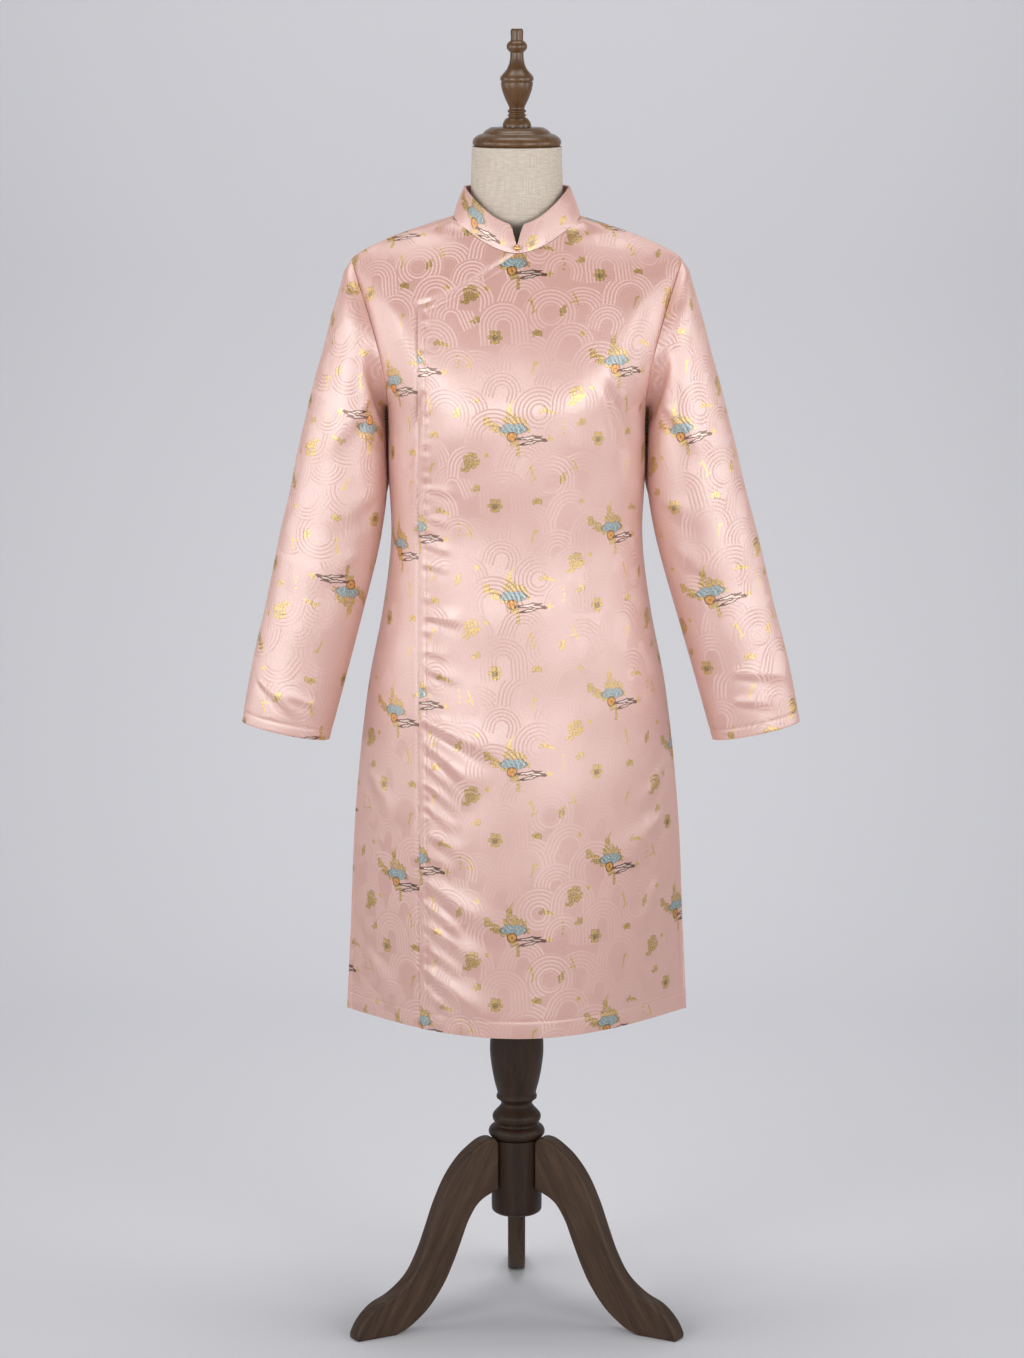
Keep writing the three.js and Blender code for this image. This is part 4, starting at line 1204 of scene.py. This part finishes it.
def stitch_tree():
    """Short threads in even steps along a guide line, turned along it and away from the cloth."""
    tree, given = shape_tree(
        "stitch_row", Pitch="Float", Length="Float", Thickness="Float", Thread="Material"
    )
    line = add_node(tree, "GeometryNodeMeshToCurve", {"Mesh": given["Geometry"]})
    evenly = {"Curve": line, "Length": given["Pitch"]}
    steps = add_node(tree, "GeometryNodeResampleCurve", evenly, mode="LENGTH")
    outward = add_node(tree, "GeometryNodeInputNamedAttribute", {"Name": "outward"}, data_type="FLOAT_VECTOR")
    tangent = add_node(tree, "GeometryNodeInputTangent")
    turned = add_node(
        tree,
        "FunctionNodeAxesToRotation",
        {"Primary Axis": tangent, "Secondary Axis": outward},
        primary_axis="X",
        secondary_axis="Z",
    )
    grain = add_node(tree, "GeometryNodeMeshUVSphere", {"Segments": 6, "Rings": 4, "Radius": 0.5})
    size = add_node(
        tree, "ShaderNodeCombineXYZ", {"X": given["Length"], "Y": given["Thickness"], "Z": given["Thickness"]}
    )
    sewn = {"Points": steps, "Instance": grain, "Rotation": turned, "Scale": size}
    rows = add_node(tree, "GeometryNodeInstanceOnPoints", sewn)
    smooth_rows = add_node(tree, "GeometryNodeSetShadeSmooth", {"Geometry": rows})
    return end_tree(tree, smooth_rows, given["Thread"])


def sewing_thread():
    """Polyester sewing thread in the cloth's own pink, twisted, so it is lighter on its crests."""
    tree, finish = new_material("sewing_thread")
    place = add_node(tree, "ShaderNodeTexCoord").node.outputs["Object"]
    ply = add_node(tree, "ShaderNodeTexNoise", {"Vector": place, "Scale": 900.0})
    twisted = {"Factor": ply, "A": linear("#c08d83"), "B": linear("#d9aba1")}
    colour = add_node(tree, "ShaderNodeMix", twisted, data_type="RGBA")
    return finish(base_color=colour, roughness=0.5)


# %% Stitch lines
STITCH_PITCH, STITCH_LENGTH, STITCH_THICKNESS = 3.6, 2.7, 0.55
SLIT_POINTS, SLIT_SEARCH = 60, 16
SLANT_LENGTHENS = 1.13  # a step straight down from a slanted edge is longer than one square to it
stitches_made = stitch_tree()
thread = sewing_thread()


def pressed(points, piece):
    """Points moved to the nearest place on a piece of cloth, and the cloth's outward direction there."""
    corners = [vertex.co for vertex in piece.data.vertices]
    surface = BVHTree.FromPolygons(corners, [face.vertices for face in piece.data.polygons])
    found = [surface.find_nearest(point) for point in placed(points)]
    return [hit[0] for hit in found], [hit[1] for hit in found]


def stitched(name, piece, *lines):
    """Stitches along lines of points that are given in millimetres, sewn to a piece of cloth."""
    points, outward, edges = [], [], []
    for line in lines:
        places, normals = pressed(line, piece)
        edges += [(len(points) + i, len(points) + i + 1) for i in range(len(places) - 1)]
        points += places
        outward += normals
    guide = bpy.data.meshes.new(name)
    guide.from_pydata(points, edges, [])
    guide.attributes.new("outward", "FLOAT_VECTOR", "POINT").data.foreach_set("vector", np.ravel(outward))
    sizes = {"Pitch": STITCH_PITCH, "Length": STITCH_LENGTH, "Thickness": STITCH_THICKNESS}
    row = grown(name, guide, stitches_made, Thread=thread, **{key: size * MM for key, size in sizes.items()})
    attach(row, "root")
    print(f"{name}: {len(row.data.vertices) // 20} stitches")
    return row


def slit_line(side, across):
    """A line beside a slit, from its top to the hem, on the front or the back."""
    z = np.linspace(SLIT_TOP, HEM_STITCH_Z, SLIT_POINTS)
    x = half_width(z)
    tries = np.linspace(0, 1, SLIT_POINTS)[:, None]
    xs = x - tries * SLIT_SEARCH
    depth = plain_depth(side, xs, np.broadcast_to(z, xs.shape))[0]
    nearest = np.argmin(np.abs(np.hypot(x - xs, depth) - SLIT_STITCH), axis=0)
    return cloth_point(side, across * xs[nearest, np.arange(SLIT_POINTS)], z)


def level_line(side, z, start, end, count=120):
    return cloth_point(side, np.linspace(start, end, count), np.full(count, float(z)))


closing_x = OPENING_X + STITCH_FROM_EDGE
straight_z = np.arange(HEM_STITCH_Z, OPENING_Z - 6, 8.0)
slant_x = np.linspace(closing_x, -3, 30)
closing = np.concatenate(
    [
        cloth_point("front", np.full(straight_z.shape, closing_x), straight_z),
        cloth_point("front", slant_x, opening_z(slant_x) - STITCH_FROM_EDGE * SLANT_LENGTHENS),
    ]
)
hem_half = float(half_width(np.array(HEM_STITCH_Z))) - 4
over_stitches = stitched(
    "over_front_stitches",
    over_front,
    closing,
    slit_line("front", 1),
    level_line("front", HEM_STITCH_Z, closing_x, hem_half),
)
under_stitches = stitched(
    "under_front_stitches",
    under_front,
    slit_line("front", -1),
    level_line("front", HEM_STITCH_Z, -hem_half, OPENING_X, 40),
)
back_stitches = stitched(
    "back_stitches",
    back,
    slit_line("back", 1),
    slit_line("back", -1),
    level_line("back", HEM_STITCH_Z, -hem_half, hem_half, 160),
)


def cuff_line(grid):
    """A ring of points round a sleeve, a stitch's distance above its edge."""
    up = np.linalg.norm(grid - grid[:, -1:], axis=-1)
    return np.array([column[np.argmin(np.abs(height - CUFF_STITCH))] for column, height in zip(grid, up)])


left_stitches = stitched("sleeve_left_stitches", sleeve_left, cuff_line(left_grid))
right_stitches = stitched("sleeve_right_stitches", sleeve_right, cuff_line(right_grid))

# %% [markdown]
# ## The bead at the throat
#
# One small gilt bead closes the collar, held by a loop of thread from the other side. The bead is a
# brass ball, turned and polished, and its loop is a thin cord, so a curve with a round bevel makes it.

# %% Bead and loop
BEAD_RADIUS = 3.6
LOOP_RADIUS, LOOP_THREAD = 4.1, 0.65
LOOP_BACK, LOOP_LEAN, LOOP_FLATNESS = 0.5, 1.2, 0.8


def gilt_brass():
    """Gilt brass: warm, smooth and mirror-like, with the faint dulling of handled metal."""
    tree, finish = new_material("gilt_brass")
    place = add_node(tree, "ShaderNodeTexCoord").node.outputs["Object"]
    wear = add_node(tree, "ShaderNodeTexNoise", {"Vector": place, "Scale": 400.0, "Detail": 3.0})
    dull = add_node(tree, "ShaderNodeMapRange", {"Value": wear, "To Min": 0.22, "To Max": 0.4})
    handled = {"Factor": wear, "A": linear("#d9a35c"), "B": linear("#f0c98a")}
    colour = add_node(tree, "ShaderNodeMix", handled, data_type="RGBA")
    return finish(base_color=colour, metallic=1.0, roughness=dull)


bead_low, bead_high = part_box("collar_button")
bead_middle = (bead_low + bead_high) / 2
bead_mesh = bmesh.new()
bmesh.ops.create_uvsphere(bead_mesh, u_segments=32, v_segments=20, radius=BEAD_RADIUS * MM)
bmesh.ops.translate(bead_mesh, verts=bead_mesh.verts, vec=bead_middle)
bead = link("throat_bead", bpy.data.meshes.new("throat_bead"))
bead_mesh.to_mesh(bead.data)
bead_mesh.free()
bead.data.shade_smooth()
bead.data.materials.append(gilt_brass())
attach(bead, "root")
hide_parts("collar_button")

loop_curve = bpy.data.curves.new("bead_loop", "CURVE")
loop_curve.dimensions = "3D"
loop_curve.bevel_depth = LOOP_THREAD / 2 * MM
loop_curve.bevel_resolution = 3
spline = loop_curve.splines.new("POLY")
loop_turns = np.linspace(0, 2 * np.pi, 33)[:-1]
spline.points.add(len(loop_turns) - 1)
for point, turn in zip(spline.points, loop_turns):
    across, up = math.sin(turn), math.cos(turn)
    loop_depth = LOOP_BACK + up * LOOP_LEAN
    offset = Vector((across * LOOP_RADIUS, loop_depth, up * LOOP_RADIUS * LOOP_FLATNESS))
    point.co = (*(bead_middle + offset * MM), 1)
spline.use_cyclic_u = True
carrier = link("bead_loop_curve", loop_curve)
loop_mesh = bpy.data.meshes.new_from_object(carrier.evaluated_get(bpy.context.evaluated_depsgraph_get()))
bpy.data.objects.remove(carrier)
loop = link("bead_loop", loop_mesh)
loop.data.shade_smooth()
loop.data.materials.append(thread)
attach(loop, "root")
print("bead at", [round(value, 4) for value in bead_middle])

# %% How the cloth is held
finish_cloth(over_front, "over_front", over_front_grid)
finish_cloth(under_front, "under_front", under_front_grid)
finish_cloth(back, "back", back_grid)
finish_cloth(sleeve_left, "sleeve_left", left_grid)
finish_cloth(sleeve_right, "sleeve_right", right_grid)
finish_cloth(collar, "collar", neck_grid)

# %% [markdown]
# ## The dress form
#
# The form is a padded torso covered in unbleached linen, without arms. Its shape is given by level
# sections like the garment's, only smaller, so the cloth hangs clear of it. Only its neck shows, and
# from below its flat base, but it is whole, because light and shadow inside the skirt depend on it.

# %% Dress form
FORM = table(
    "z half front back bow round",
    (700, 146, 108, 100, 2.2, 0.5),
    (712, 152, 113, 105, 2.2, 0.5),
    (800, 160, 118, 110, 2.2, 0.5),
    (890, 146, 108, 96, 2.2, 0.5),
    (975, 126, 92, 78, 2.2, 0.5),
    (1060, 136, 108, 90, 2.3, 0.5),
    (1136, 145, 121, 101, 2.4, 0.5),
    (1209, 160, 107, 102, 2.3, 0.5),
    (1257, 172, 90, 95, 2.1, 0.52),
    (1285, 173, 79, 86, 1.9, 0.6),
    (1309, 168, 68, 76, 1.7, 0.68),
    (1325, 145, 62, 68, 1.5, 0.8),
    (1340, 113, 57, 59, 1.4, 0.85),
    (1352, 78, 54, 55, 1.6, 0.75),
    (1364, 61, 53.5, 54, 1.9, 0.52),
    (1380, 56, 54, 54, 2.0, 0.5),
    (1410, 54.5, 54, 54, 2.0, 0.5),
    (1444, 53.5, 53.5, 53.5, 2.0, 0.5),
)
FORM_AROUND, FORM_ROWS = 120, 150
LINEN_THREAD = 1.6  # real threads are finer, but would not show
SHADED_FROM, SHADED_TO, SHADED = 1362, 1350, 0.25  # painted shade: how the linen's colour is darkened inside the collar, from and to these heights


def linen_canvas():
    """Unbleached linen canvas: uneven thick and thin threads both ways, matt and a little yellow. Its colour
    is darkened inside the collar, as painted shade.
    """
    tree, finish = new_material("linen_canvas")
    cover = add_node(tree, "ShaderNodeUVMap", uv_map="cover")
    threads = []
    for stretch in ((0.06, 1, 1), (1, 0.06, 1)):
        run = add_node(tree, "ShaderNodeMapping", {"Vector": cover, "Scale": stretch})
        size = 1 / (LINEN_THREAD * MM)
        threads.append(add_node(tree, "ShaderNodeTexNoise", {"Vector": run, "Scale": size, "Detail": 2.0}))
    cloth = add_node(tree, "ShaderNodeMath", {0: threads[0], 1: threads[1]}, operation="ADD")
    shade = add_node(tree, "ShaderNodeMapRange", {"Value": cloth, "From Min": 0.7, "From Max": 1.3})
    slubbed = {"Factor": shade, "A": linear("#baac9c"), "B": linear("#d5cabd")}
    colour = add_node(tree, "ShaderNodeMix", slubbed, data_type="RGBA")
    # Painted shade: below the collar's top the linen's colour is darkened, where the collar shades it.
    height = add_node(tree, "ShaderNodeSeparateXYZ", {0: cover}).node.outputs["Y"]
    low, high = SHADED_TO * MM, SHADED_FROM * MM
    painted_collar_shade = {"Value": height, "From Min": low, "From Max": high, "To Min": SHADED, "To Max": 1.0}
    shade = add_node(tree, "ShaderNodeMapRange", painted_collar_shade)
    colour = add_node(tree, "ShaderNodeVectorMath", {0: colour, "Scale": shade}, operation="SCALE")
    weave = add_node(tree, "ShaderNodeBump", {"Height": cloth, "Strength": 0.5, "Distance": 0.0004})
    return finish(base_color=colour, roughness=0.92, normal=weave)


def dress_form():
    """The linen-covered torso, closed at its neck and its base."""
    turns = np.linspace(0, 2 * np.pi, FORM_AROUND + 1)
    z = np.linspace(FORM["z"][-1], FORM["z"][0], FORM_ROWS)
    half, bow, power = (size_at(FORM, column, z) for column in ("half", "bow", "round"))
    sine, cosine = np.sin(turns)[:, None], np.cos(turns)[:, None]
    depth = np.where(cosine > 0, size_at(FORM, "front", z), size_at(FORM, "back", z))
    x = half * np.sign(sine) * np.abs(sine) ** (2 / bow)
    y = -depth * np.sign(cosine) * np.abs(cosine) ** (2 * power)
    grid = np.stack([x, y, np.broadcast_to(z, x.shape)], -1)
    rows = FORM_ROWS
    faces = []
    for i in range(FORM_AROUND):
        here, beside = i * rows, (i + 1) % FORM_AROUND * rows
        faces += [(here + j, here + j + 1, beside + j + 1, beside + j) for j in range(rows - 1)]
    faces.append([i * rows for i in range(FORM_AROUND)])
    faces.append([i * rows + rows - 1 for i in reversed(range(FORM_AROUND))])
    mesh = bpy.data.meshes.new("form_linen")
    mesh.from_pydata(placed(grid[:-1].reshape(-1, 3)).tolist(), [], faces)
    cover = mesh.uv_layers.new(name="cover")
    around = FORM["half"].mean() * turns
    for face in range(FORM_AROUND * (rows - 1)):
        i, j = divmod(face, rows - 1)
        corners = ((i, j), (i, j + 1), (i + 1, j + 1), (i + 1, j))
        for corner, (a, b) in enumerate(corners):
            cover.data[face * 4 + corner].uv = (around[a] * MM, z[b] * MM)
    mesh.shade_smooth()
    mesh.materials.append(linen_canvas())
    return link("form_linen", mesh)


form = dress_form()
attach(form, "root")
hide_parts("form_body")
print("dress form, metres high:", round(form.dimensions.z, 3))

# %% [markdown]
# ## The turned stand
#
# The cap, finial, post and hub were turned on a lathe, so each is a profile spun round its axis.
# Spinning by hand in a mesh would do, but the rule is so plain that a Geometry Nodes tree says it
# whole: a line up the axis carries a radius at each height, and a circle of that radius is swept
# along it. A smooth curve through a few rows gives the profile its beads, coves and vase shapes.

# %% Turned wood
CAP = table(
    "z r",
    (1444.5, 50.5),
    (1447, 52.6),
    (1451, 52.6),
    (1455, 50.0),
    (1458.5, 44.0),
    (1459, 41.5),
    (1463, 37.5),
    (1466.5, 31.5),
)
FINIAL = table(
    "z r",
    (1467, 17.2),
    (1472, 16.4),
    (1477, 13.2),
    (1479, 9.8),
    (1481, 11.3),
    (1483.3, 9.4),
    (1486, 11.3),
    (1488.4, 9.2),
    (1491, 9.6),
    (1501, 14.3),
    (1511, 17.8),
    (1519.5, 19.2),
    (1520.8, 18.4),
    (1522, 19.7),
    (1525.7, 19.7),
    (1528, 18.4),
    (1536, 11.8),
    (1544, 8.8),
    (1555, 8.0),
    (1556.5, 9.6),
    (1559, 11.6),
    (1562, 12.3),
    (1565, 11.6),
    (1567.5, 9.6),
    (1569, 7.6),
    (1581, 7.5),
    (1583, 6.2),
)
POST = table(
    "z r",
    (225, 29.5),
    (229, 33.8),
    (234, 34.6),
    (239, 32.0),
    (242.5, 27.2),
    (249, 29.6),
    (254, 29.6),
    (259, 26.0),
    (263.5, 21.8),
    (268, 19.2),
    (273, 21.6),
    (275, 24.6),
    (279, 24.8),
    (281, 23.6),
    (296, 27.4),
    (315, 31.0),
    (334, 33.0),
    (350, 32.6),
    (372, 30.0),
    (400, 24.0),
    (425, 19.0),
    (672, 19.0),
    (684, 36.0),
    (699.5, 36.0),
)
HUB = table("z r", (129, 26.0), (132, 30.0), (137, 31.0), (160, 31.0), (224.5, 31.0))
LATHE_STEP = 0.6
GRAIN_ALONG = 0.055  # the grain's width as a share of its length
PORES, BANDS = 420.0, 90.0  # to a metre across the grain: 2.4 mm and 11 mm apart


def lathe_tree():
    """A circle swept up a line, with a radius for each point of it."""
    tree, given = shape_tree("lathe", Sides="Int", Wood="Material")
    line = add_node(tree, "GeometryNodeMeshToCurve", {"Mesh": given["Geometry"]})
    radius = add_node(tree, "GeometryNodeInputNamedAttribute", {"Name": "radius"}, data_type="FLOAT")
    circle = add_node(tree, "GeometryNodeCurvePrimitiveCircle", {"Resolution": given["Sides"], "Radius": 1.0})
    swept = {"Curve": line, "Profile Curve": circle, "Scale": radius, "Fill Caps": True}
    spun = add_node(tree, "GeometryNodeCurveToMesh", swept)
    return end_tree(tree, spun, given["Wood"])


def stained_beech(name, dark, light, uv=None, gloss=0.0):
    """Stained and lacquered beech: long brown pores in a lighter ground, under a thin satin varnish,
    or a glossier one. The grain runs up the turned pieces, and along each leg."""
    tree, finish = new_material(name)
    if uv:
        place = add_node(tree, "ShaderNodeUVMap", uv_map=uv)
        stretch = (GRAIN_ALONG, 1, 1)
    else:
        place = add_node(tree, "ShaderNodeTexCoord").node.outputs["Object"]
        stretch = (1, 1, GRAIN_ALONG)
    grain = add_node(tree, "ShaderNodeMapping", {"Vector": place, "Scale": stretch})
    fine = {"Vector": grain, "Scale": PORES, "Detail": 4.0, "Roughness": 0.65}
    pores = add_node(tree, "ShaderNodeTexNoise", fine)
    broad = {"Vector": grain, "Scale": BANDS, "Detail": 3.0, "Distortion": 0.6}
    bands = add_node(tree, "ShaderNodeTexNoise", broad)
    both = add_node(tree, "ShaderNodeMix", {"Factor": 0.45, "A": pores, "B": bands})
    shade = add_node(tree, "ShaderNodeMapRange", {"Value": both, "From Min": 0.32, "From Max": 0.68})
    stained = {"Factor": shade, "A": linear(dark), "B": linear(light)}
    colour = add_node(tree, "ShaderNodeMix", stained, data_type="RGBA")
    varnished = {"Value": pores, "To Min": 0.6 - gloss, "To Max": 0.42 - gloss}
    rough = add_node(tree, "ShaderNodeMapRange", varnished)
    relief = add_node(tree, "ShaderNodeBump", {"Height": pores, "Strength": 0.25, "Distance": 0.0003})
    return finish(base_color=colour, roughness=rough, normal=relief, specular_ior_level=0.35 + gloss)


spinning = lathe_tree()
top_wood = stained_beech("stained_beech_light", "#4a3018", "#70502f", gloss=0.2)
post_wood = stained_beech("stained_beech_dark", "#1b0f07", "#3b2514")


def face_outwards(mesh):
    """Turns all the faces of a closed shell outwards."""
    shell = bmesh.new()
    shell.from_mesh(mesh)
    bmesh.ops.recalc_face_normals(shell, faces=shell.faces)
    shell.to_mesh(mesh)
    shell.free()


def turned(name, node, profile, wood, sides=72):
    """A piece spun from its profile, which then stands for its measured node."""
    z = np.arange(profile["z"][0], profile["z"][-1] + LATHE_STEP / 2, LATHE_STEP)
    z[-1] = profile["z"][-1]
    guide = bpy.data.meshes.new(name)
    guide.from_pydata(placed(np.stack([0 * z, 0 * z, z], -1)), [(i, i + 1) for i in range(len(z) - 1)], [])
    radius = guide.attributes.new("radius", "FLOAT", "POINT")
    radius.data.foreach_set("value", size_at(profile, "r", z) * MM)
    piece = grown(name, guide, spinning, Sides=sides, Wood=wood)
    face_outwards(piece.data)
    piece.data.shade_smooth()
    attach(piece, "root")
    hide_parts(node)
    print(f"{name}: {len(piece.data.polygons)} faces")
    return piece


turned("turned_cap", "neck_cap", CAP, top_wood)
turned("turned_finial", "finial", FINIAL, top_wood)
turned("turned_post", "post", POST, post_wood)
turned("turned_hub", "hub", HUB, post_wood)

# %% [markdown]
# ## The legs
#
# Each cabriole leg is sawn from a board to an S-shaped outline, and its edges are rounded with a
# router. So it is made the same way: an outline given by a few points and a smooth curve through
# them, two flat faces, and a Bevel of several steps along their edges. The three legs are one
# function, turned round the hub.

# %% Legs
LEG_THICKNESS, LEG_ROUNDING = 22, 5
LEG_TOP = table(
    "r z",
    (31.3, 223.5),
    (36.5, 229.5),
    (48, 229.5),
    (60, 224),
    (79, 210),
    (98, 187),
    (114, 156),
    (126, 125),
    (138, 96),
    (154, 70),
    (178, 51),
    (203, 40),
    (220, 25),
    (230, 8),
    (230, 0),
)
LEG_UNDERSIDE = table(
    "r z", (176, 0), (158, 7), (132, 26), (110, 53), (95, 81), (83, 109), (73, 132), (58, 152), (31.3, 165)
)
LEG_HEADINGS = {"leg_front_right": 210, "leg_front_left": 330, "leg_back": 90}
OUTLINE_STEP = 2.5
GRAIN_COS, GRAIN_SIN = 0.87, 0.5  # the grain leans 30 degrees, along the leg
BOARD_SHIFT = 0.02  # the far face shows another part of the board


def smooth_outline(points):
    """A list of outline points, joined by a smooth curve."""
    line = np.stack([points["r"], points["z"]], -1)
    run = np.concatenate([[0], np.cumsum(np.linalg.norm(np.diff(line, axis=0), axis=-1))])
    return along(run, line, np.linspace(0, run[-1], int(run[-1] / OUTLINE_STEP)))


def leg(name, heading, wood):
    """A cabriole leg that stands out from the hub at a heading, in degrees."""
    outline = np.concatenate([smooth_outline(LEG_TOP), smooth_outline(LEG_UNDERSIDE)])
    count = len(outline)
    turn = math.radians(heading)
    out, side = np.array((math.cos(turn), math.sin(turn), 0)), np.array((-math.sin(turn), math.cos(turn), 0))
    level = outline[:, :1] * out + outline[:, 1:] * (0, 0, 1)
    points = np.concatenate([level - side * LEG_THICKNESS / 2, level + side * LEG_THICKNESS / 2])
    faces = [list(range(count)), list(range(2 * count - 1, count - 1, -1))]
    faces += [(i, count + i, count + (i + 1) % count, (i + 1) % count) for i in range(count)]
    mesh = bpy.data.meshes.new(name)
    mesh.from_pydata(placed(points).tolist(), [], faces)
    grain = mesh.uv_layers.new(name="grain")
    for corner in mesh.loops:
        r, z = outline[corner.vertex_index % count] * MM
        lift = BOARD_SHIFT * (corner.vertex_index >= count)
        u, v = z * GRAIN_COS - r * GRAIN_SIN, r * GRAIN_COS + z * GRAIN_SIN + lift
        grain.data[corner.index].uv = (u, v)
    face_outwards(mesh)
    mesh.shade_smooth()
    mesh.materials.append(wood)
    piece = link(name, mesh)
    router = piece.modifiers.new("router", "BEVEL")
    router.width = LEG_ROUNDING * MM
    router.segments = 5
    router.limit_method = "ANGLE"
    router.angle_limit = math.radians(50)
    router.harden_normals = True
    return piece


leg_wood = stained_beech("stained_beech_leg", "#2b1c11", "#5a4331", uv="grain")
for node, heading in LEG_HEADINGS.items():
    piece = leg(f"cabriole_{node}", heading, leg_wood)
    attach(piece, "root")
    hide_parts(node)
print("legs:", len(LEG_HEADINGS))
